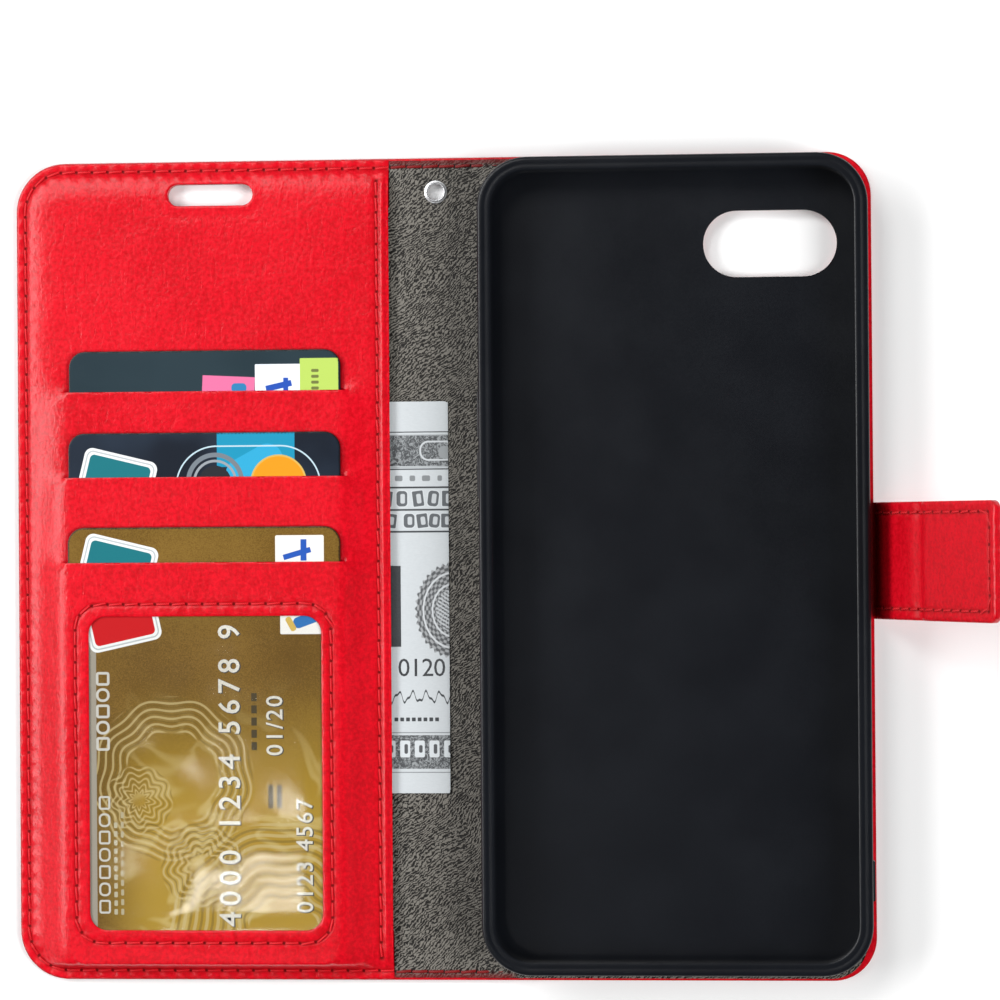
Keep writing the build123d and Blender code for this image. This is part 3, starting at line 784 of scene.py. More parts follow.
def stitch_tree():
    """Stitches along a line's points: a short arch of thread at each, laid along the line."""
    tree = bpy.data.node_groups.new("Stitch row", "GeometryNodeTree")
    tree.interface.new_socket("Geometry", in_out="INPUT", socket_type="NodeSocketGeometry")
    for label, kind, value in (
            ("Length", "NodeSocketFloat", 0.0024), ("Thickness", "NodeSocketFloat", 0.00045),
            ("Rise", "NodeSocketFloat", 0.0003), ("Slant", "NodeSocketFloat", 0.05),
            ("Wander", "NodeSocketFloat", 0.05), ("Seed", "NodeSocketInt", 4),
            ("Thread", "NodeSocketMaterial", None)):
        socket = tree.interface.new_socket(label, in_out="INPUT", socket_type=kind)
        if value is not None:
            socket.default_value = value
    tree.interface.new_socket("Geometry", in_out="OUTPUT", socket_type="NodeSocketGeometry")
    made = {}

    def add(label, kind, settings=None, links=None):
        node = tree.nodes.new(kind)
        for key, value in (settings or {}).items():
            setattr(node, key, value)
        for key, value in (links or {}).items():
            if isinstance(value, tuple) and isinstance(value[0], str):
                tree.links.new(made[value[0]].outputs[value[1]], node.inputs[key])
            else:
                node.inputs[key].default_value = value
        made[label] = node

    def times(label, source, factor):
        add(label, "ShaderNodeMath", {"operation": "MULTIPLY"}, {0: source, 1: factor})

    add("in", "NodeGroupInput")
    times("half", ("in", "Length"), 0.5)
    times("back", ("half", 0), -1.0)
    times("dip", ("in", "Rise"), -0.9)
    times("crown", ("in", "Rise"), 1.2)
    add("start", "ShaderNodeCombineXYZ", {}, {"X": ("back", 0), "Z": ("dip", 0)})
    add("middle", "ShaderNodeCombineXYZ", {}, {"Z": ("crown", 0)})
    add("stop", "ShaderNodeCombineXYZ", {}, {"X": ("half", 0), "Z": ("dip", 0)})
    add("arch", "GeometryNodeCurveQuadraticBezier", {},
        {"Resolution": 6, "Start": ("start", 0), "Middle": ("middle", 0), "End": ("stop", 0)})
    times("radius", ("in", "Thickness"), 0.5)
    add("round", "GeometryNodeCurvePrimitiveCircle", {}, {"Resolution": 7, "Radius": ("radius", 0)})
    add("bead", "GeometryNodeCurveToMesh", {},
        {"Curve": ("arch", 0), "Profile Curve": ("round", 0), "Fill Caps": True})
    add("line", "GeometryNodeMeshToCurve", {}, {"Mesh": ("in", "Geometry")})
    add("tangent", "GeometryNodeInputTangent")
    add("turn", "FunctionNodeAlignRotationToVector", {"axis": "X", "pivot_axis": "Z"},
        {"Vector": ("tangent", 0)})
    times("jitter", ("in", "Wander"), -1.0)
    add("chance", "FunctionNodeRandomValue", {"data_type": "FLOAT"},
        {2: ("jitter", 0), 3: ("in", "Wander"), "Seed": ("in", "Seed")})
    add("sum", "ShaderNodeMath", {"operation": "ADD"}, {0: ("in", "Slant"), 1: ("chance", 1)})
    add("spin", "ShaderNodeCombineXYZ", {}, {"Z": ("sum", 0)})
    add("lean", "FunctionNodeRotateRotation", {"rotation_space": "LOCAL"},
        {"Rotation": ("turn", 0), "Rotate By": ("spin", 0)})
    add("set", "GeometryNodeInstanceOnPoints", {},
        {"Points": ("line", 0), "Instance": ("bead", 0), "Rotation": ("lean", 0)})
    add("real", "GeometryNodeRealizeInstances", {}, {"Geometry": ("set", 0)})
    add("smooth", "GeometryNodeSetShadeSmooth", {}, {0: ("real", 0)})
    add("finish", "GeometryNodeSetMaterial", {}, {"Geometry": ("smooth", 0), "Material": ("in", "Thread")})
    add("out", "NodeGroupOutput")
    tree.links.new(made["finish"].outputs[0], made["out"].inputs[0])
    return tree


STITCHES = stitch_tree()
STITCH_SLANT = 0.06


def sew(name, runs, finish, length=2.45, thickness=0.46, rise=0.22, place=None):
    """One mesh of stitches along several runs of (x, y, z) points, in millimetres."""
    verts, edges = [], []
    for run in runs:
        first = len(verts)
        verts += [tuple(point * MM) for point in np.asarray(run, float)]
        edges += [(first + i, first + i + 1) for i in range(len(run) - 1)]
    mesh = bpy.data.meshes.new(name)
    mesh.from_pydata(verts, edges, [])
    piece = bpy.data.objects.new(name, mesh)
    bpy.context.scene.collection.objects.link(piece)
    modifier = piece.modifiers.new("Stitches", "NODES")
    modifier.node_group = STITCHES
    sizes = {"Length": length * MM, "Thickness": thickness * MM, "Rise": rise * MM, "Slant": STITCH_SLANT,
             "Thread": finish}
    for item in STITCHES.interface.items_tree:
        if item.item_type == "SOCKET" and item.in_out == "INPUT" and item.name in sizes:
            modifier[item.identifier] = sizes[item.name]
    baked(piece)
    if place is not None:
        move_points(piece, place(points_of(piece)))
    return piece


def level_run(points, height):
    """Points of a run raised to a height, or to a height worked out at each."""
    z = height(points[:, 0], points[:, 1]) if callable(height) else np.full(len(points), height)
    return np.column_stack([points, z])


# ------------------------------------------------------------------ what the pieces move with


def belongs(piece, body, slot, *nodes):
    """Give a piece its body, and hide the frame nodes that it stands for; slot is not used."""
    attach(piece, body)
    if nodes:
        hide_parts(*nodes)


def flat_size(x0, x1, y0, y1):
    """Flat size of a sheet between the limits given, in metres."""
    return (x1 - x0) * MM, (y1 - y0) * MM


def over_front_fold(piece):
    """Bake the transform of a piece that joins the front cover to the spine; it is not bent."""
    (front_fold_x - FOLD_REACH) * MM
    (front_fold_x + FOLD_REACH) * MM
    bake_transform(piece)


def over_back_fold(piece):
    """Bake the transform of a piece that joins the spine to the back cover; it is not bent."""
    (back_fold_x - FOLD_REACH) * MM
    (back_fold_x + FOLD_REACH * 0.8) * MM
    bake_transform(piece)


# ------------------------------------------------------------------ card panel

film_x0, film_y0, film_z0, film_x1, film_y1, film_z1 = limits("window_film")
FILM_BORDER = 3.2
window = (film_x0 + FILM_BORDER, film_x1 - FILM_BORDER, film_y0 + FILM_BORDER, film_y1 - FILM_BORDER)
WINDOW_R = 3.4
slit_y = [limits(f"pocket_liner_{k}")[4] + 0.3 for k in (1, 2, 3)]
slit_x = (limits("pocket_liner_1")[0] + limits("pocket_liner_1")[3]) / 2
SLIT_HALF = 28.2
levels = [limits(f"pocket_liner_{k}")[2] for k in (1, 2, 3)] + [film_z1]
panel_x0, panel_y0, _, panel_x1, panel_y1, _ = limits("card_panel")
PANEL_R, PANEL_T = FRONT_R - 0.2, 0.3
hem_x = panel_x1 - 2.4
EAR_FROM_EDGE, EAR_Y, EAR_HALF_WIDE, EAR_HALF_TALL, EAR_R = 39.0, 74.1, 8.5, 2.15, 2.14
ear = box_round(front_x0 + EAR_FROM_EDGE, EAR_Y, EAR_HALF_WIDE, EAR_HALF_TALL)
TIGHT_HALF = 27.3  # half the stretch in which the leather is drawn tight over a pocket's mouth
MARGIN_IN, MARGIN_RISE = 1.7, 8.0  # the flat margin at the free edge, and the soft rise inside it

edge_row = Row(free_edge(panel_x1 + 0.2, panel_x0, panel_y0, panel_y1, PANEL_R, STITCH_INSET - 0.2))
hem_row = Row(np.array([(hem_x, panel_y1 - 4.2), (hem_x, panel_y0 + 4.2)]), pucker=0.3)
frame_box = (window[0] - 2.7, window[1] + 1.9, window[2] - 2.5, window[3] + 2.4)
window_row = Row(rounded(*frame_box, WINDOW_R + 1.6), closed=True, pucker=0.5)
panel_rows = [edge_row, hem_row, window_row]


def panel_depth(x, y):
    return depth_in(x, y, panel_x0, panel_x1 + 200, panel_y0, panel_y1, PANEL_R)


def ear_away(x, y):
    return -depth_in(x, y, *ear, EAR_R)


def window_away(x, y):
    return -depth_in(x, y, *window, WINDOW_R)


cards = [limits(f"card_{k}") for k in (1, 2, 3)]


def card_away(x, y, k):
    """Distance outside the part of card k that shows above its pocket; large elsewhere."""
    x0, y0, _, x1, y1, _ = cards[k - 1]
    away = -depth_in(x, y, x0, x1, y0, y1, CARD_R)
    return np.where(y > slit_y[k - 1] + 0.02, away, FAR)


def panel_under(x, y, lip=None):
    """Height of the panel's underside, before stitches and creases."""
    d = panel_depth(x, y)
    rise = 1 - (1 - np.clip((d - MARGIN_IN) / MARGIN_RISE, 0, 1)) ** 3
    z = skin_t + 0.005 + (levels[0] - skin_t) * rise
    across = np.abs(x - slit_x)
    tight = 1 - soft((across - TIGHT_HALF) / 1.1)
    climb = np.zeros(len(x))
    for k, y_slit in enumerate(slit_y):
        s = y - y_slit
        half = np.clip(0.9 + 0.75 * (across - TIGHT_HALF), 0.9, 6.0)
        gentle = soft(0.5 - s / (2 * half))
        side = (s < 0).astype(float)
        if lip is not None:
            side = np.where((np.abs(s) < 1e-4) & (lip != 0), (lip < 0).astype(float), side)
        climb += (levels[k + 1] - levels[k]) * (tight * side + (1 - tight) * gentle)
    left = soft((x - (panel_x0 + 3.2)) / 7.6)
    right = soft(((panel_x1 - 2.7) - x) / 7.3)
    ends = soft((y - (panel_y0 + 1.9)) / 1.55) * soft((panel_y1 - 1.9 - y) / 2.4)
    z += climb * left * right * ends
    x0, y0, _, x1, y1, top_z = cards[2]
    beyond = -depth_in(x, y, x0, x1, y0, y1, CARD_R)
    return np.maximum(z, skin_t + 0.02 + (top_z + 0.03 - skin_t) * (1 - soft(beyond / 1.75)) * (y < 0))


def panel_top(x, y, lip=None):
    """Height of the panel's upper face."""
    z = panel_under(x, y, lip) + PANEL_T
    hem = (hill(x - (panel_x1 - 1.25), 0.50) * 0.42 - hill(x - (panel_x1 - 0.42), 0.16) * 0.12
           + hill(x - (hem_x - 1.1), 0.6) * 0.07)
    z += hem * soft((panel_depth(x, y) - 3.0) / 2.0)
    z += 0.10 * hill(window_away(x, y) - 0.75, 0.5)
    z -= 0.10 * hill(ear_away(x, y) - 1.9, 0.9)
    for y_slit in slit_y:
        s = y - y_slit
        at_end = np.exp(-(((np.abs(x - slit_x) - SLIT_HALF - 0.5) / 0.9) ** 2) - (s / 1.6) ** 2)
        z -= 0.05 * at_end
        z -= 0.07 * hill(s + 2.0, 0.8) * (s <= 0) * (np.abs(x - slit_x) < SLIT_HALF)
    for k in (1, 2, 3):
        z -= 0.10 * hill(card_away(x, y, k), 0.35)
    return z - np.abs(ripple(x, y, 0.06, 3)) * soft((panel_depth(x, y) - 3) / 3)


def panel_border(start_x, inset, step):
    """The panel's edge from its hem round the free edge and back, pulled in by an inset."""
    return even(free_edge(start_x, panel_x0, panel_y0, panel_y1, PANEL_R, inset), step)


def panel_lines():
    """Lines of points that the panel's mesh keeps, so that its edges, seams and folds are crisp."""
    lines = [panel_border(panel_x1 - 0.1, inset, 0.45) for inset in (0.07, 0.18, 0.36, 0.62)]
    lines += [row.beside(STITCH_SIDES) for row in panel_rows]
    lines += [panel_border(panel_x1 - 0.3, inset, 0.7) for inset in (2.9, 3.5, 4.2, 5.0)]
    lines += [even(rounded(*window, WINDOW_R, -away), 0.55, True) for away in (0.08, 0.22, 0.5, 0.9)]
    lines += [even(rounded(*ear, EAR_R, -away), 0.5, True)
              for away in (0.08, 0.22, 0.5, 0.9, 1.3, 1.9, 2.5)]
    lines += [upright(panel_x1 - away, panel_y0 + 2.6, panel_y1 - 2.6, 200)
              for away in (0.07, 0.2, 0.45, 0.8, 1.15, 1.5)]
    across = np.concatenate([np.arange(-31, -26.4, 0.35), np.arange(-26.2, 26.3, 0.75),
                             np.arange(26.4, 31.1, 0.35)])
    lines += [level_line(slit_x + across, y + side * away)
              for y in slit_y for away in (0.08, 0.22, 0.45, 0.8, 1.3) for side in (-1, 1)]
    steps = np.arange(panel_x0 + 4.5, panel_x1 - 4.0, 0.6)
    lines += [level_line(steps, panel_y0 + rise) for rise in np.arange(2.75, 4.4, 0.27)]
    for (x0, _, _, x1, y1, _), y in zip(cards, slit_y):
        for away in (0.02, 0.22, 0.45, 0.75):
            top_line = even(rounded(x0, x1, y - 20, y1, CARD_R, -away), 0.45, True)
            lines.append(top_line[top_line[:, 1] > y + 0.3])
    return lines


def build_panel():
    """The leather of the card panel, with its slits, window and earpiece slot."""
    closing = upright(panel_x1, panel_y0, panel_y1, 152)[1:-1]
    outline = np.concatenate([panel_border(panel_x1, 0.0, 0.45), closing])
    holes = [(even(rounded(*window, WINDOW_R), 0.5, True), lambda x, y: depth_in(x, y, *window, WINDOW_R)),
             (even(rounded(*ear, EAR_R), 0.45, True), lambda x, y: depth_in(x, y, *ear, EAR_R))]
    cuts = [level_line(np.linspace(slit_x - SLIT_HALF, slit_x + SLIT_HALF, 76), y) for y in slit_y]
    xy, tris = fill(outline, holes, cuts, panel_lines(), 1.05)
    xy, tris, lip = slit_open(xy, tris, [(slit_x - SLIT_HALF, slit_x + SLIT_HALF, y) for y in slit_y])
    x, y = xy.T
    sink, hole, groove = marks_of(panel_rows, x, y)
    top, under = panel_top(x, y, lip), panel_under(x, y, lip)
    free = np.minimum(np.minimum(panel_depth(x, y), window_away(x, y)),
                      np.minimum(ear_away(x, y), panel_x1 - x))
    at_slit = np.full(len(x), FAR)
    for y_slit in slit_y:
        beside = np.abs(x - slit_x) < SLIT_HALF - 0.3
        at_slit = np.minimum(at_slit, np.where(beside, np.abs(y - y_slit), FAR))
    lip_near = np.minimum(free, at_slit)
    turned = near_edge(lip_near, 0.24) ** 2
    top = top - np.minimum(sink, 0.42) - 0.14 * turned
    under = under + 0.06 * turned - 0.25 * np.clip(sink, 0, 0.3)
    under = np.where(ear_away(x, y) < 0.05, skin_t + 0.05, under)
    under = np.maximum(under, skin_t + 0.012)
    top = np.maximum(top, under + 0.10)
    # Marks for darker cut edges and lips, and for a painted shadow line round the top of each card.
    edge = near_edge(lip_near, 0.16) * 0.6
    for k in (1, 2, 3):
        edge = np.maximum(edge, np.clip(1.15 - np.abs(card_away(x, y, k)) / 0.30, 0, 1))
    return sheet_mesh("card_panel_leather", xy, tris, top, under, red,
                      {"hole": hole, "groove": groove, "edge": edge})


panel = build_panel()
belongs(panel, "front", "red_leather", "card_panel")


def panel_skin(x, y):
    """Where a stitch lies on the panel."""
    return panel_top(x, y) - 0.02


stitched = [level_run(row.stitches(), panel_skin) for row in panel_rows]
belongs(sew("panel_stitches", stitched, red_thread), "front", "red_leather")


# ------------------------------------------------------------------ window film, cards and liners


def plain_sheet(name, reach, finish, r, bulge=None, round_off=0.06, spacing=2.2):
    """Flat sheet or card with eased edges. reach is its lowest x, y, z and its highest x, y, z."""
    x0, y0, z0, x1, y1, z1 = reach
    outline = even(rounded(x0, x1, y0, y1, r), 0.6, True)
    rings = [even(rounded(x0, x1, y0, y1, r, inset), 0.7, True) for inset in (0.07, 0.2, 0.5)]
    xy, tris = fill(outline, (), (), rings, spacing)
    x, y = xy.T
    d = depth_in(x, y, x0, x1, y0, y1, r)
    lift = bulge(x, y) if bulge else np.zeros(len(x))
    ease = round_off * near_edge(d, 0.2) ** 2
    # The edge mark is where a card's finish paints shade along its rim.
    return sheet_mesh(name, xy, tris, z1 + lift - ease, z0 + lift + ease, finish,
                      {"edge": near_edge(d, 0.28)})


def film_bulge(x, y):
    """The film's soft cushion and waves, inside the window."""
    d = depth_in(x, y, *window, WINDOW_R)
    return 0.16 * soft((d - 0.3) / 3.0) + ripple(x, y, 0.035, 21, 26.0) * soft((d - 0.5) / 3.0)


FILM_TRIM, FILM_THIN = 0.3, 0.01
window_film = plain_sheet("window_film_clear",
                          (film_x0 + FILM_TRIM, film_y0 + FILM_TRIM, film_z0 + FILM_THIN,
                           film_x1 - FILM_TRIM, film_y1 - FILM_TRIM, film_z1 - FILM_THIN),
                          film, 1.0, film_bulge, round_off=0.0, spacing=1.2)
belongs(window_film, "front", "clear_film", "window_film")

for k, finish, slot_name in ((1, slate, "card_slate"), (2, navy, "card_navy"), (3, bronze, "card_bronze")):
    card = plain_sheet(f"card_{k}_printed", limits(f"card_{k}"), finish, CARD_R, spacing=4.0)
    belongs(card, f"card_{k}", slot_name, f"card_{k}")

for k in (1, 2, 3):
    reach = limits(f"pocket_liner_{k}")
    liner = plain_sheet(f"pocket_liner_{k}_cloth", reach, cloth, 0.5, round_off=0.02, spacing=3.0)
    belongs(liner, "front", "liner_cloth", f"pocket_liner_{k}")
    flat_size(reach[0], reach[3], reach[1], reach[4])


def lettering(name, text, size, at, turn, finish, height, spread, swell):
    """Raised or printed placeholder digits. at is the middle of the writing, in millimetres."""
    curve = bpy.data.curves.new(name, "FONT")
    curve.body, curve.size, curve.space_character = text, size * MM, spread
    curve.align_x, curve.align_y = "CENTER", "CENTER"
    curve.extrude, curve.offset = height * MM / 2, swell * MM
    curve.resolution_u = 3
    flat = bpy.data.objects.new(name + "_line", curve)
    bpy.context.scene.collection.objects.link(flat)
    mesh = plain_mesh(flat)
    bpy.data.objects.remove(flat)
    mesh.transform(Matrix.Translation(Vector(at) * MM) @ Matrix.Rotation(turn, 4, "Z"))
    mesh.name = name
    piece = finished(name, mesh, finish, 30)
    for polygon in piece.data.polygons:
        polygon.use_smooth = False
    return piece


card_top = limits("card_3")[5]
for name, text, size, x, y, spread, swell in (
        ("card_number", "4000 1234 5678 9", 6.0, -40.3, -40.2, 1.34, 0.05),
        ("card_date", "01/20", 4.6, -31.4, -30.5, 1.15, 0.03),
        ("card_serial", "0123 4567", 4.6, -25.6, -56.0, 1.15, 0.03)):
    digits = lettering(name, text, size, (x, y, card_top), math.pi / 2, foil, 0.14, spread, swell)
    belongs(digits, "card_3", "card_bronze")
    # A dark copy of the digits, swollen and set down and to the side, is their painted shadow.
    shade = lettering(name + "_edge", text, size, (x + 0.16, y - 0.10, card_top), math.pi / 2, ink, 0.03,
                      spread, swell + 0.07)
    belongs(shade, "card_3", "card_bronze")


# ------------------------------------------------------------------ outer leather

outer_front_row = Row(free_edge(SPLIT_X, front_x0, case_y0, case_y1, FRONT_R, STITCH_INSET))
outer_back_row = Row(free_edge(SPLIT_X, back_x1, case_y0, case_y1, BACK_R, STITCH_INSET))
CAMERA_X, CAMERA_Y = 66.0, 63.0
CAMERA_HALF_WIDE, CAMERA_HALF_TALL, CAMERA_R = 13.6, 7.1, 7.09
camera = box_round(CAMERA_X, CAMERA_Y, CAMERA_HALF_WIDE, CAMERA_HALF_TALL)
eyelet_x0, eyelet_y0, _, eyelet_x1, eyelet_y1, _ = limits("eyelet_washer")
eyelet_x, eyelet_y = (eyelet_x0 + eyelet_x1) / 2, (eyelet_y0 + eyelet_y1) / 2
EYELET_HOLE, EYELET_SEAT = 1.84, 2.45
BOARD_END_IN = 4.4  # how far the board stops short of the case's ends


def eyelet_hole():
    return arc(eyelet_x, eyelet_y, EYELET_HOLE, 0, 360, 33)[:-1]


def eyelet_depth(x, y):
    return EYELET_HOLE - np.hypot(x - eyelet_x, y - eyelet_y)


def outer_leather(name, edge_x, r, row, hole, hole_r, board_in, raised):
    """Half of the outer leather, from the middle of the spine round one cover.

    It steps in by raised where the board, board_in from the free edge, ends under it."""
    inward = 1 if edge_x < 0 else -1
    far = (edge_x, SPLIT_X + 400) if inward > 0 else (SPLIT_X - 400, edge_x)

    def depth(x, y, side=0.0, end=0.0):
        return depth_in(x, y, far[0] + (side if inward > 0 else 0), far[1] - (side if inward < 0 else 0),
                        case_y0 + end, case_y1 - end, max(r - max(side, end), 1.5))

    border = even(free_edge(SPLIT_X, edge_x, case_y0, case_y1, r), 0.55)
    if inward < 0:
        border = border[::-1]
    closing = upright(SPLIT_X, border[-1][1], border[0][1], 122)[1:-1]
    hole_line = even(rounded(*hole, hole_r), 0.5, True)
    lines = [even(free_edge(SPLIT_X + 0.1 * -inward, edge_x, case_y0, case_y1, r, inset), 0.55)
             for inset in (0.08, 0.2, 0.4, 0.7)]
    lines.append(row.beside(STITCH_SIDES))
    lines += [even(free_edge(SPLIT_X + 0.3 * -inward, edge_x, case_y0, case_y1, r, inset), 0.9)
              for inset in (3.2, 3.9, 4.6, 5.3, 6.0, 6.8)]
    lines += [even(rounded(*hole, hole_r, -away), 0.55, True) for away in (0.1, 0.3, 0.6, 1.0, 1.5, 2.1)]
    fold = front_fold_x if inward > 0 else back_fold_x
    lines += [upright(fold + step, case_y0 + 3, case_y1 - 3, 150) for step in np.arange(-2.6, 2.7, 0.4)]
    holes = [(hole_line, lambda x, y: depth_in(x, y, *hole, hole_r))]
    if inward < 0:
        holes.append((eyelet_hole(), eyelet_depth))
    xy, tris = fill(np.concatenate([border, closing]), holes, (), lines, 1.3)
    x, y = xy.T
    sink, needle, groove = row.marks(x, y)
    d = depth(x, y)
    away = -depth_in(x, y, *hole, hole_r)
    on_board = depth(x, y, board_in, BOARD_END_IN)
    step = raised * (1 - soft((on_board + 1.2) / 1.8)) * soft(np.abs(x - fold) / 3.0)
    pressed = 0.16 * hill(away - 1.6, 0.7)
    fall = near_edge(np.minimum(d, away), 0.42) ** 2
    under = np.minimum(sink, 0.34) * 0.75 + step + 0.16 * fall + pressed + np.abs(ripple(x, y, 0.02, 5))
    seat = np.clip((EYELET_SEAT - np.hypot(x - eyelet_x, y - eyelet_y)) / 0.3, 0, 1) * 0.22
    top = skin_t - 0.07 * fall - 0.10 * needle
    under = np.minimum(under + seat, top - 0.12)
    return sheet_mesh(name, xy, tris, top, under, red,
                      {"hole": needle, "groove": groove, "edge": near_edge(d, 0.35)})


front_leather = outer_leather("outer_leather_front", front_x0, FRONT_R, outer_front_row, ear, EAR_R, 5.7, 0.16)
over_front_fold(front_leather)
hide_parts("front_skin")

back_leather = outer_leather("outer_leather_back", back_x1, BACK_R, outer_back_row, camera, CAMERA_R,
                             2.85, 0.10)
over_back_fold(back_leather)
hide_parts("back_skin", "spine_skin")
flat_size(SPLIT_X, back_x1, case_y0, case_y1)


def parted(points, low, high):
    """The points whose x lies between two limits."""
    return points[(points[:, 0] >= low) & (points[:, 0] < high)]


def split_runs(points, gap=6.0):
    """Cut a line of stitch points into runs wherever it jumps."""
    jumps = np.nonzero(np.hypot(*np.diff(points, axis=0).T) > gap)[0] + 1
    return [run for run in np.split(points, jumps) if len(run) > 1]


def outside_stitches(name, row, low, high):
    """The stitches of a row between two limits in x, as they lie on the outer leather."""
    runs = split_runs(parted(row.stitches(), low, high))
    return sew(name, [level_run(run, 0.19) for run in runs], red_thread, thickness=0.42, rise=-0.18)


front_turn_x, back_turn_x = front_fold_x - 2.4, back_fold_x + 1.9
front_out = outside_stitches("outer_stitches_front", outer_front_row, -FAR, front_turn_x)
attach(front_out, "front")
back_out = outside_stitches("outer_stitches_back", outer_back_row, back_turn_x, FAR)
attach(back_out, "back")
front_turn = outside_stitches("outer_stitches_front_fold", outer_front_row, front_turn_x, SPLIT_X)
over_front_fold(front_turn)
back_turn = outside_stitches("outer_stitches_back_fold", outer_back_row, SPLIT_X, back_turn_x)
over_back_fold(back_turn)


# ------------------------------------------------------------------ linings and divider

LINING_IN = 0.45
spine_top = limits("spine_lining")[5]
pocket_z = limits("front_lining")[5]
back_top = limits("back_lining")[5]
SPINE_SEAM_IN, SPINE_SEAM_END, TINT_END = 1.65, 17.0, 16.0
spine_rows = [Row(np.array([(panel_x1 + 0.3, y), (SPINE_SEAM_END, y)]))
              for y in (case_y1 - SPINE_SEAM_IN, case_y0 + SPINE_SEAM_IN)]


def lining(name, outline, holes, heights):
    """Grey lining inside an outline, with the spine's two seams and extra points along the fold lines."""
    x0, x1 = outline[:, 0].min(), outline[:, 0].max()
    lines = []
    for row in spine_rows:
        points = row.beside(STITCH_SIDES)
        lines.append(points[(points[:, 0] > x0 + 0.05) & (points[:, 0] < x1 - 0.05)])
    for fold in (front_fold_x, back_fold_x):
        for step in np.arange(-3.4, 3.5, 0.4):
            if x0 + 0.2 < fold + step < x1 - 0.2:
                lines.append(upright(fold + step, case_y0 + 3.2, case_y1 - 3.2, 140))
    for inset in (0.1, 0.3, 0.6):
        for y in (case_y1 - LINING_IN - inset, case_y0 + LINING_IN + inset):
            lines.append(level_line(np.arange(max(panel_x1 + 0.2, x0 + 0.2), min(TINT_END, x1 - 0.1), 0.5), y))
    xy, tris = fill(outline, holes, (), lines, 1.3)
    x, y = xy.T
    under, top = heights(x, y)
    sink, needle, groove = marks_of(spine_rows, x, y)
    out = np.minimum(case_y1 - LINING_IN - y, y - case_y0 - LINING_IN)
    edge = (1 - soft(out - 0.35)) * soft((TINT_END - x) / 2.0)
    top = top - np.minimum(sink, 0.24) * 0.8 - 0.10 * near_edge(out, 0.35) ** 2
    top = np.maximum(top, under + 0.08)
    return sheet_mesh(name, xy, tris, top, under, grey, {"hole": needle, "groove": groove, "edge": edge})


def lining_heights(x, y, up, raised_top):
    """Underside and top of a lining: down on the leather along the spine, and up on a cover."""
    under = skin_t + 0.01 + (raised_top - 0.2 - skin_t) * up
    waves = np.abs(ripple(x, y, 0.02, 31)) * (1 - up)
    return under, under + (spine_top - skin_t - 0.01) * (1 - up) + 0.19 * up - waves


def front_heights(x, y):
    return lining_heights(x, y, soft((front_fold_x - 2.4) - x), pocket_z)


def back_heights(x, y):
    return lining_heights(x, y, soft(x - (back_fold_x + 1.2)), back_top)


low_y, high_y = case_y0 + LINING_IN, case_y1 - LINING_IN
POCKET_IN, POCKET_HALF, DIVIDER_HALF = 8.8, 71.0, 70.5  # the cash pocket, clear of the panel's margin
pocket_x0, step_x = front_x0 + POCKET_IN, panel_x1 + 0.1
front_corners = [(SPLIT_X, low_y), (SPLIT_X, high_y), (step_x, high_y), (step_x, POCKET_HALF),
                 (pocket_x0, POCKET_HALF), (pocket_x0, -POCKET_HALF), (step_x, -POCKET_HALF),
                 (step_x, low_y)]
front_lining = lining("lining_front", even(np.array(front_corners), 0.6, True), [], front_heights)
over_front_fold(front_lining)
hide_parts("front_lining")
flat_size(pocket_x0, SPLIT_X, low_y, high_y)

LINING_EDGE_IN, LINING_R, LINING_GAP = 1.3, 7.6, 0.4
lining_x1 = back_x1 - LINING_EDGE_IN
back_round = free_edge(SPLIT_X, lining_x1, case_y0, case_y1, LINING_R, LINING_IN)[::-1][1:-1]
back_outline = even(np.concatenate([[(SPLIT_X, low_y)], back_round, [(SPLIT_X, high_y)]]), 0.6, True)
camera_wide = (camera[0] - LINING_GAP, camera[1] + LINING_GAP, camera[2] - LINING_GAP, camera[3] + LINING_GAP)
camera_hole = (even(rounded(*camera_wide, CAMERA_R), 0.6, True),
               lambda x, y: depth_in(x, y, *camera_wide, CAMERA_R))
back_lining = lining("lining_back", back_outline, [camera_hole, (eyelet_hole(), eyelet_depth)], back_heights)
over_back_fold(back_lining)
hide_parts("spine_lining", "back_lining")
flat_size(SPLIT_X, lining_x1, low_y, high_y)

for name, low, high, over_fold in (("lining_stitches_front", -FAR, SPLIT_X, over_front_fold),
                                   ("lining_stitches_back", SPLIT_X, FAR, over_back_fold)):
    runs = [level_run(parted(row.stitches(), low, high), spine_top - 0.10) for row in spine_rows]
    seam = sew(name, runs, dark_thread, length=2.8, thickness=0.62)
    over_fold(seam)

_, _, divider_z0, divider_x1, _, divider_z1 = limits("pocket_divider")
divider = plain_sheet("pocket_divider_lining",
                      (pocket_x0, -DIVIDER_HALF, divider_z0, divider_x1, DIVIDER_HALF, divider_z1),
                      pocket_grey, 2.0, round_off=0.03, spacing=2.5)
belongs(divider, "front", "grey_lining", "pocket_divider")
flat_size(pocket_x0, divider_x1, -DIVIDER_HALF, DIVIDER_HALF)


# ------------------------------------------------------------------ banknote

note_x0, note_y0, note_z0, note_x1, note_y1, note_z1 = limits("banknote")
NOTE_T = 0.12


def note_lift(x, y):
    """Height of the note's underside.

    It lies flat on the spine, steps up over the board and has a free curl low down."""
    climb = (note_z1 - 0.2 - note_z0) * soft(((front_fold_x - 1.7) - x) / 1.3)
    waves = ripple(x, y, 0.03, 41, 24.0) * soft((x + 8) / 3)
    curl = 0.16 * soft((x + 5.5) / 8.0) * (1 + 0.5 * np.sin(y / 9.0)) + waves
    return note_z0 - 0.03 + climb + np.maximum(curl, 0) * soft((9.0 - y) / 8.0)


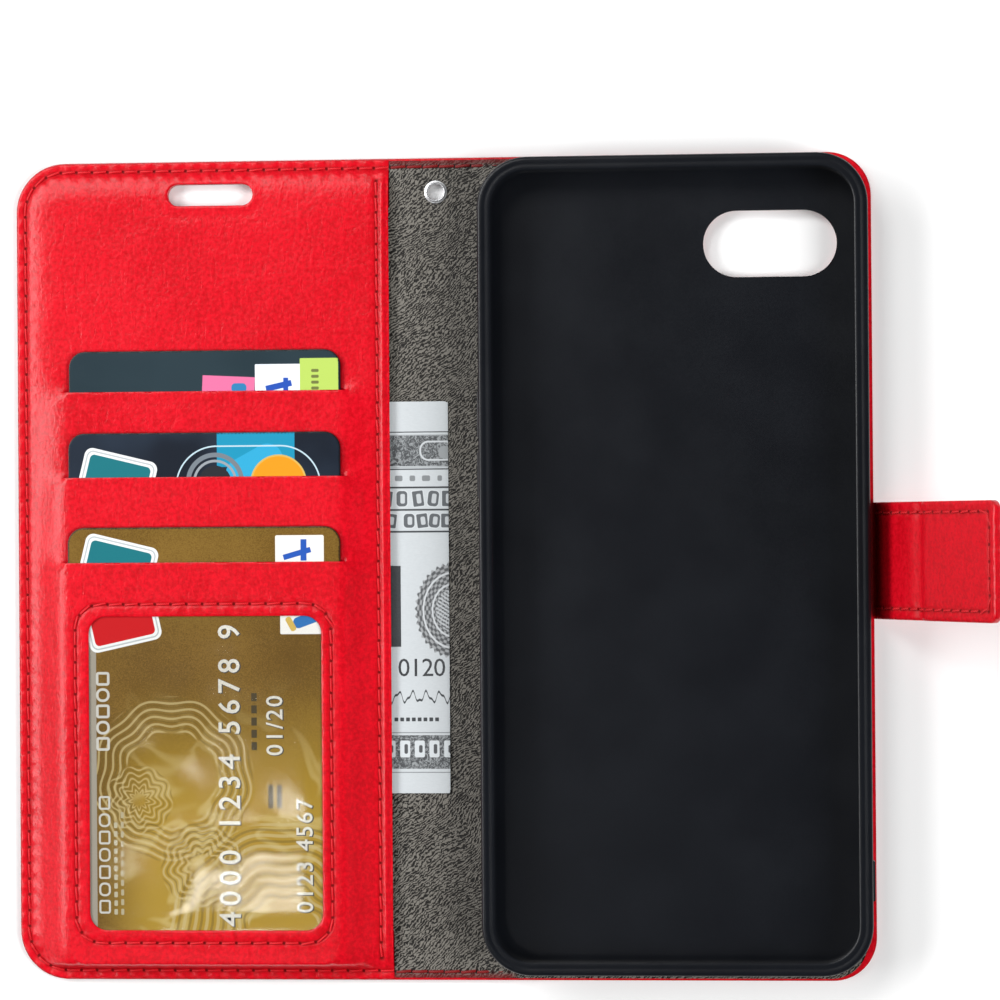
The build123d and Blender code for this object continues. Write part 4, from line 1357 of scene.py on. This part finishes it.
def build_note():
    """Folded note: its two layers meet in a soft fold at the free end."""
    outline = even(rounded(note_x0, note_x1, note_y0, note_y1, 0.25), 0.8, True)
    lines = [upright(x, note_y0 + 0.3, note_y1 - 0.3, 90)
             for x in (*np.arange(-10.6, -4.0, 0.35), note_x1 - 0.1, note_x1 - 0.3, note_x1 - 0.7)]
    xy, tris = fill(outline, (), (), lines, 1.3)
    x, y = xy.T
    lift = note_lift(x, y)
    ease = 0.04 * near_edge(note_x1 - x, 0.35) ** 2
    return sheet_mesh("banknote_folded", xy, tris, lift + NOTE_T - ease, lift + ease, paper)


note = build_note()
INK_GAP, INK_T = 0.002, 0.012
ink_pieces = [lettering(f"note_digits_{i}", text, size, (x, y, note_z0), 0.0, ink, 0.02, spread, swell)
              for i, (text, size, x, y, spread, swell) in enumerate((
                  ("1", 23.0, -8.2, -8.3, 1.0, 0.10), ("0120", 5.0, -2.9, -19.6, 0.94, 0.0)))]
for piece in ink_pieces:
    points = points_of(piece)
    upper = points[:, 2] > (points[:, 2].max() + points[:, 2].min()) / 2
    points[:, 2] = note_lift(points[:, 0], points[:, 1]) + NOTE_T + INK_GAP + upper * INK_T
    move_points(piece, points)
for piece in (note, *ink_pieces):
    over_front_fold(piece)
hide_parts("banknote")


# ------------------------------------------------------------------ phone tray

tray_x0, tray_y0, tray_z0, tray_x1, tray_y1, tray_z1 = limits("phone_tray")
TRAY_R, SEAT_Z, TRAY_MIDDLE_Z, TRAY_SHARP = 9.8, 2.0, 5.0, 38
tray_profile = [
    (9.0, tray_z0), (1.2, tray_z0), (0.45, tray_z0 + 0.10), (0.12, tray_z0 + 0.35), (0.0, tray_z0 + 0.8),
    (0.0, TRAY_MIDDLE_Z), (0.0, tray_z1 - 1.0), (0.06, tray_z1 - 0.45), (0.22, tray_z1 - 0.18),
    (0.5, tray_z1 - 0.03), (0.8, tray_z1), (1.15, tray_z1 - 0.02), (1.38, tray_z1 - 0.13),
    (1.6, tray_z1 - 0.16), (1.9, tray_z1 - 0.10), (2.3, tray_z1 - 0.08), (2.55, tray_z1 - 0.14),
    (2.68, tray_z1 - 0.26), (2.66, tray_z1 - 0.38), (2.4, tray_z1 - 0.45), (1.6, tray_z1 - 0.55),
    (1.34, tray_z1 - 0.85), (1.3, tray_z1 - 1.6), (1.3, TRAY_MIDDLE_Z), (1.3, SEAT_Z + 0.9),
    (1.42, SEAT_Z + 0.35), (1.8, SEAT_Z + 0.06), (2.6, SEAT_Z), (9.0, SEAT_Z)]


def build_tray():
    """The tray's walls, lip and floor: rounded rings, one for each point of the profile (inset, height)."""
    verts, faces, rings = [], [], []
    for inset, z in tray_profile:
        x0, x1, y0, y1 = tray_x0 + inset, tray_x1 - inset, tray_y0 + inset, tray_y1 - inset
        r = max(TRAY_R - inset, 0.6)
        middles = ((x1 - r, y1 - r), (x0 + r, y1 - r), (x0 + r, y0 + r), (x1 - r, y0 + r))
        corners = [arc(cx, cy, r, 90 * i, 90 * i + 90, 15) for i, (cx, cy) in enumerate(middles)]
        stretches = []
        for i, corner in enumerate(corners):
            ahead = corners[(i + 1) % 4][0]
            share = np.linspace(0, 1, 16 if i % 2 else 9)[1:-1, None]
            stretches += [corner, corner[-1] + (ahead - corner[-1]) * share]
        line = np.concatenate(stretches)
        rings.append(range(len(verts), len(verts) + len(line)))
        verts += [(x * MM, y * MM, z * MM) for x, y in line]
    n = len(rings[0])
    for a, b in zip(rings, rings[1:]):
        faces += [(a[i], a[(i + 1) % n], b[(i + 1) % n], b[i]) for i in range(n)]
    faces += [tuple(reversed(rings[0])), tuple(rings[-1])]
    mesh = bpy.data.meshes.new("phone_tray_rubber")
    mesh.from_pydata(verts, [], faces)
    return finished("phone_tray_rubber", mesh, rubber, TRAY_SHARP)


def block_cutter(name, line, lowest, highest, along_y=False):
    """Upright prism from a closed line, or one lying along Y when the line is (x, z)."""
    n = len(line)
    if along_y:
        verts = [(p[0], level, p[1]) for level in (lowest, highest) for p in line]
    else:
        verts = [(*p, level) for level in (lowest, highest) for p in line]
    faces = [tuple(reversed(range(n))), tuple(range(n, 2 * n))]
    faces += [(i, (i + 1) % n, (i + 1) % n + n, i + n) for i in range(n)]
    mesh = bpy.data.meshes.new(name)
    mesh.from_pydata([tuple(value * MM for value in v) for v in verts], [], faces)
    piece = bpy.data.objects.new(name, mesh)
    bpy.context.scene.collection.objects.link(piece)
    return piece


tray = build_tray()
middle_z = (limits("key_cover_upper")[2] + limits("key_cover_upper")[5]) / 2
KEY_GAP, WALL_CUT = 0.25, 1.6
camera_line = even(rounded(*box_round(CAMERA_X, CAMERA_Y, 13.0, 6.5), 6.49), 0.8, True)
cutters = [block_cutter("cut_camera", camera_line, 0.5, 3.0)]
for name, x, w, h, r in (("cut_port", 47.0, 14.0, 5.4, 1.2), ("cut_speaker", 28.0, 13.0, 4.6, 1.2),
                         ("cut_jack", 66.0, 6.8, 6.8, 3.39)):
    line = even(rounded(*box_round(x, middle_z, w / 2, h / 2), r), 0.6, True)
    cutters.append(block_cutter(name, line, tray_y0 - 1, tray_y0 + WALL_CUT, along_y=True))
for node, x in (("key_cover_upper", tray_x0), ("key_cover_lower", tray_x0), ("key_cover_side", tray_x1)):
    _, y0, z0, _, y1, z1 = limits(node)
    x0, x1 = (x - 1, x + WALL_CUT) if x == tray_x0 else (x - WALL_CUT, x + 1)
    y0, y1 = y0 - KEY_GAP, y1 + KEY_GAP
    line = np.array([(x0, y0), (x1, y0), (x1, y1), (x0, y1)])
    cutters.append(block_cutter("cut_" + node, line, z0 - KEY_GAP, z1 + KEY_GAP))
for cutter in cutters:
    modifier = tray.modifiers.new(cutter.name, "BOOLEAN")
    modifier.operation, modifier.solver, modifier.object = "DIFFERENCE", "EXACT", cutter
baked(tray)
for cutter in cutters:
    bpy.data.objects.remove(cutter)
tray.data.polygons.foreach_set("use_smooth", [True] * len(tray.data.polygons))
tray.data.set_sharp_from_angle(angle=math.radians(TRAY_SHARP))
belongs(tray, "back", "black_tpu", "phone_tray")


# ------------------------------------------------------------------ eyelet

eyelet_profile = [
    (1.60, 0.02), (1.60, 0.60), (1.60, 1.10), (1.66, 1.22), (1.78, 1.27), (1.90, 1.22), (1.97, 1.10),
    (2.05, 1.06), (2.16, 1.08), (2.26, 1.03), (2.30, 0.95), (2.28, 0.90), (1.84, 0.90), (1.84, 0.30),
    (2.24, 0.26), (2.30, 0.18), (2.27, 0.06), (2.10, 0.0), (1.80, 0.0), (1.68, 0.0)]
barrel = lathe("eyelet_chrome", eyelet_profile, (eyelet_x, eyelet_y), chrome)
belongs(barrel, "spine", "chrome", "eyelet_barrel", "eyelet_washer")


# ------------------------------------------------------------------ strap

LEAN = math.atan2(flap_z - fold_z, flap_x - strap_root_x)
flap_s = math.hypot(flap_z - fold_z, flap_x - strap_root_x)
_, strap_y0, _, _, strap_y1, _ = limits("strap_tab")
FLAP_L, STRAP_R, STRAP_SEAM_IN = 27.0, 2.0, 2.1
ROOT_BEND, FLAP_BEND = 1.1, 1.7  # how far either side of its two folds the strap bends; only the root bend is made, and FLAP_BEND bends nothing
MID_S = flap_s / 2


def strap_place(points):
    """Bend a flat strap up at its root: flat before the fold, leaning after it, in a soft curve between."""
    s, y, z = points[:, 0] - strap_root_x, points[:, 1], points[:, 2] - fold_z
    whole = 2 * ROOT_BEND
    turn = LEAN * np.clip((s + ROOT_BEND) / whole, 0, 1)
    radius = whole / LEAN
    t = np.clip(s + ROOT_BEND, 0, whole)
    beyond, before = np.maximum(s - ROOT_BEND, 0), np.minimum(s + ROOT_BEND, 0)
    line_x = -ROOT_BEND + radius * np.sin(t / radius) + beyond * math.cos(LEAN) + before
    line_z = radius * (1 - np.cos(t / radius)) + beyond * math.sin(LEAN)
    end_x = -ROOT_BEND + radius * math.sin(whole / radius)
    end_z = radius * (1 - math.cos(whole / radius))
    slip = soft((s + ROOT_BEND) / whole)
    slip_x, slip_z = (ROOT_BEND * math.cos(LEAN) - end_x) * slip, (ROOT_BEND * math.sin(LEAN) - end_z) * slip
    at_x = strap_root_x + line_x + slip_x - z * np.sin(turn)
    return np.column_stack([at_x, y, fold_z + line_z + slip_z + z * np.cos(turn)])


strap_row = Row(free_edge(strap_root_x + 0.6, strap_root_x + flap_s + FLAP_L, strap_y0, strap_y1,
                          STRAP_R + 0.6, STRAP_SEAM_IN))


def strap_thick(s):
    """Thickness of the strap at a distance from its root: thin at both folds, and thickest in the flap."""
    waist = hill(s - flap_s, 1.6)
    root = 1 - soft((s - 0.2) / 1.4)
    return 1.2 + 0.5 * soft((s - flap_s) / 2.5) - 0.55 * waist - 0.62 * root


def strap_leather(name, s0, s1, rounded_end):
    """Length of the strap between two distances from its root."""
    x0, x1 = strap_root_x + s0, strap_root_x + s1
    border = even(free_edge(x0, x1, strap_y0, strap_y1, STRAP_R if rounded_end else 0.05), 0.45)[::-1]
    closing = upright(x0, strap_y1, strap_y0, 42)[1:-1]
    insets = (0.08, 0.2, 0.4, 0.65, 0.95)
    if rounded_end:
        lines = [even(free_edge(x0 + 0.1, x1, strap_y0, strap_y1, STRAP_R, inset), 0.5) for inset in insets]
    else:
        along = np.arange(x0 + 0.2, x1 - 0.1, 0.5)
        lines = [level_line(along, y) for inset in insets for y in (strap_y0 + inset, strap_y1 - inset)]
    near = strap_row.beside(STITCH_SIDES)
    lines.append(near[(near[:, 0] > x0 + 0.15) & (near[:, 0] < x1 - 0.15)])
    xy, tris = fill(np.concatenate([border, closing]), (), (), lines, 0.9)
    x, y = xy.T
    sink, needle, groove = strap_row.marks(x, y)
    d = depth_in(x, y, x0 - 50, x1 if rounded_end else x1 + 50, strap_y0, strap_y1, STRAP_R)
    bead = 0.10 * hill(d - 0.65, 0.35)
    ease = near_edge(d, 0.45) ** 2
    low = np.minimum(sink, 0.34) * 0.8 + 0.22 * ease - bead + 0.02
    high = strap_thick(x - strap_root_x) - 0.08 + bead - 0.20 * ease - np.minimum(sink, 0.34) * 0.6
    high = np.maximum(high + ripple(x, y, 0.03, 51), low + 0.2)
    return sheet_mesh(name, xy, tris, high, low, red,
                      {"hole": needle, "groove": groove, "edge": near_edge(d, 0.3) * 0.5}, strap_place)


def along_strap(s, z=0.3):
    """Where a distance along the strap lies, in metres."""
    point = strap_place(np.array([[strap_root_x + s, 0.0, z]]))[0]
    return tuple(value * MM for value in point)


root_piece = strap_leather("strap_root_leather", -3.0, MID_S, False)
along_strap(-ROOT_BEND)
along_strap(ROOT_BEND)
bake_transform(root_piece)
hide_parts("strap_side_outer", "strap_side_inner")
flap_piece = strap_leather("strap_flap_leather", MID_S, flap_s + FLAP_L, True)
along_strap(flap_s - FLAP_BEND)
along_strap(flap_s + FLAP_BEND)
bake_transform(flap_piece)
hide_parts("strap_flap_outer", "strap_flap_core", "strap_flap_inner")

strap_points = strap_row.stitches()
strap_s = strap_points[:, 0] - strap_root_x
for name, low, high, pair, ends in (
        ("strap_stitches_side", 1.0, MID_S, ("back", "strap_side"), (-ROOT_BEND, ROOT_BEND)),
        ("strap_stitches_flap", MID_S, FAR, ("strap_side", "strap_flap"),
         (flap_s - FLAP_BEND, flap_s + FLAP_BEND))):
    chosen = split_runs(strap_points[(strap_s >= low) & (strap_s < high)])
    runs = []
    for run in chosen:
        runs += [level_run(run, 0.12), level_run(run, lambda x, y: strap_thick(x - strap_root_x) - 0.10)]
    outer = sew(name + "_outer", runs[0::2], red_thread, rise=-0.20, place=strap_place)
    inner = sew(name + "_inner", runs[1::2], red_thread, rise=0.20, place=strap_place)
    for piece in (outer, inner):
        along_strap(ends[0])
        along_strap(ends[1])
        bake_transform(piece)


# ------------------------------------------------------------------ carried-over parts

kept = {"back_board": board, "front_board": board, "tray_adhesive": glue, "strap_tab": red,
        "front_padding": foam, "front_keeper": steel, "strap_magnet": magnet, "key_cover_upper": rubber,
        "key_cover_lower": rubber, "key_cover_side": rubber}
for name, finish in kept.items():
    node = frame["nodes"][name]
    if not node.material_slots:
        node.data.materials.append(finish)
    for slot in node.material_slots:
        slot.material = finish


# ------------------------------------------------------------------ stage, light and camera

floor_mesh = bpy.data.meshes.new("stage_floor")
FLOOR_HALF, FLOOR_Z = 3, -0.0005
floor_corners = [(a * FLOOR_HALF, b * FLOOR_HALF, FLOOR_Z) for a, b in ((-1, -1), (1, -1), (1, 1), (-1, 1))]
floor_mesh.from_pydata(floor_corners, [], [(0, 1, 2, 3)])
floor_finish = Finish("stage_pale")
floor_noise = floor_finish.noise(floor_finish.place(), 0.02, 2.0)
floor = finished("stage_floor", floor_mesh, floor_finish.surface(
    {"Base Color": floor_finish.mix(floor_noise, (0.90, 0.90, 0.90), (0.92, 0.92, 0.92)), "Roughness": 0.9,
     "Specular IOR Level": 0.1}))

world = bpy.data.worlds.new("studio")
bpy.context.scene.world = world
world.use_nodes = True
world.node_tree.nodes["Background"].inputs["Color"].default_value = (1, 1, 1, 1)
world.node_tree.nodes["Background"].inputs["Strength"].default_value = 0.10


def softbox(name, at, aim, size, power, across=None, shines=True):
    lamp = bpy.data.lights.new(name, "AREA")
    lamp.shape, lamp.size, lamp.size_y = "RECTANGLE", size, across or size
    lamp.energy = power
    holder = bpy.data.objects.new(name, lamp)
    holder.location = at
    holder.rotation_euler = (Vector(aim) - Vector(at)).to_track_quat("-Z", "Y").to_euler()
    holder.visible_glossy = shines
    bpy.context.scene.collection.objects.link(holder)


softbox("key_left", (-0.74, 0.20, 0.56), (-0.02, 0.0, 0.0), 0.95, 9.2, 0.34)
softbox("fill_right", (0.85, -0.20, 0.75), (0.02, 0.0, 0.0), 0.6, 12.0, shines=False)
softbox("top_sheen", (-0.24, 0.46, 0.66), (-0.04, 0.05, 0.0), 0.26, 1.7)
softbox("film_glare", (-0.150, -0.150, 0.72), (-0.04, -0.05, 0.0), 0.050, 0.12, 0.070)

camera_data = bpy.data.cameras.new("view")
camera_data.sensor_width, camera_data.lens = 36.0, 36.0 * 3.57193
camera_data.clip_start, camera_data.clip_end = 0.05, 20
view = bpy.data.objects.new("view", camera_data)
view.location = (68.674 * MM, 7.357 * MM, 0.700)
view.rotation_euler = tuple(math.radians(value) for value in (0.4595, 4.577, -0.427))
bpy.context.scene.collection.objects.link(view)
bpy.context.scene.camera = view
bpy.context.scene.view_settings.view_transform = "Standard"
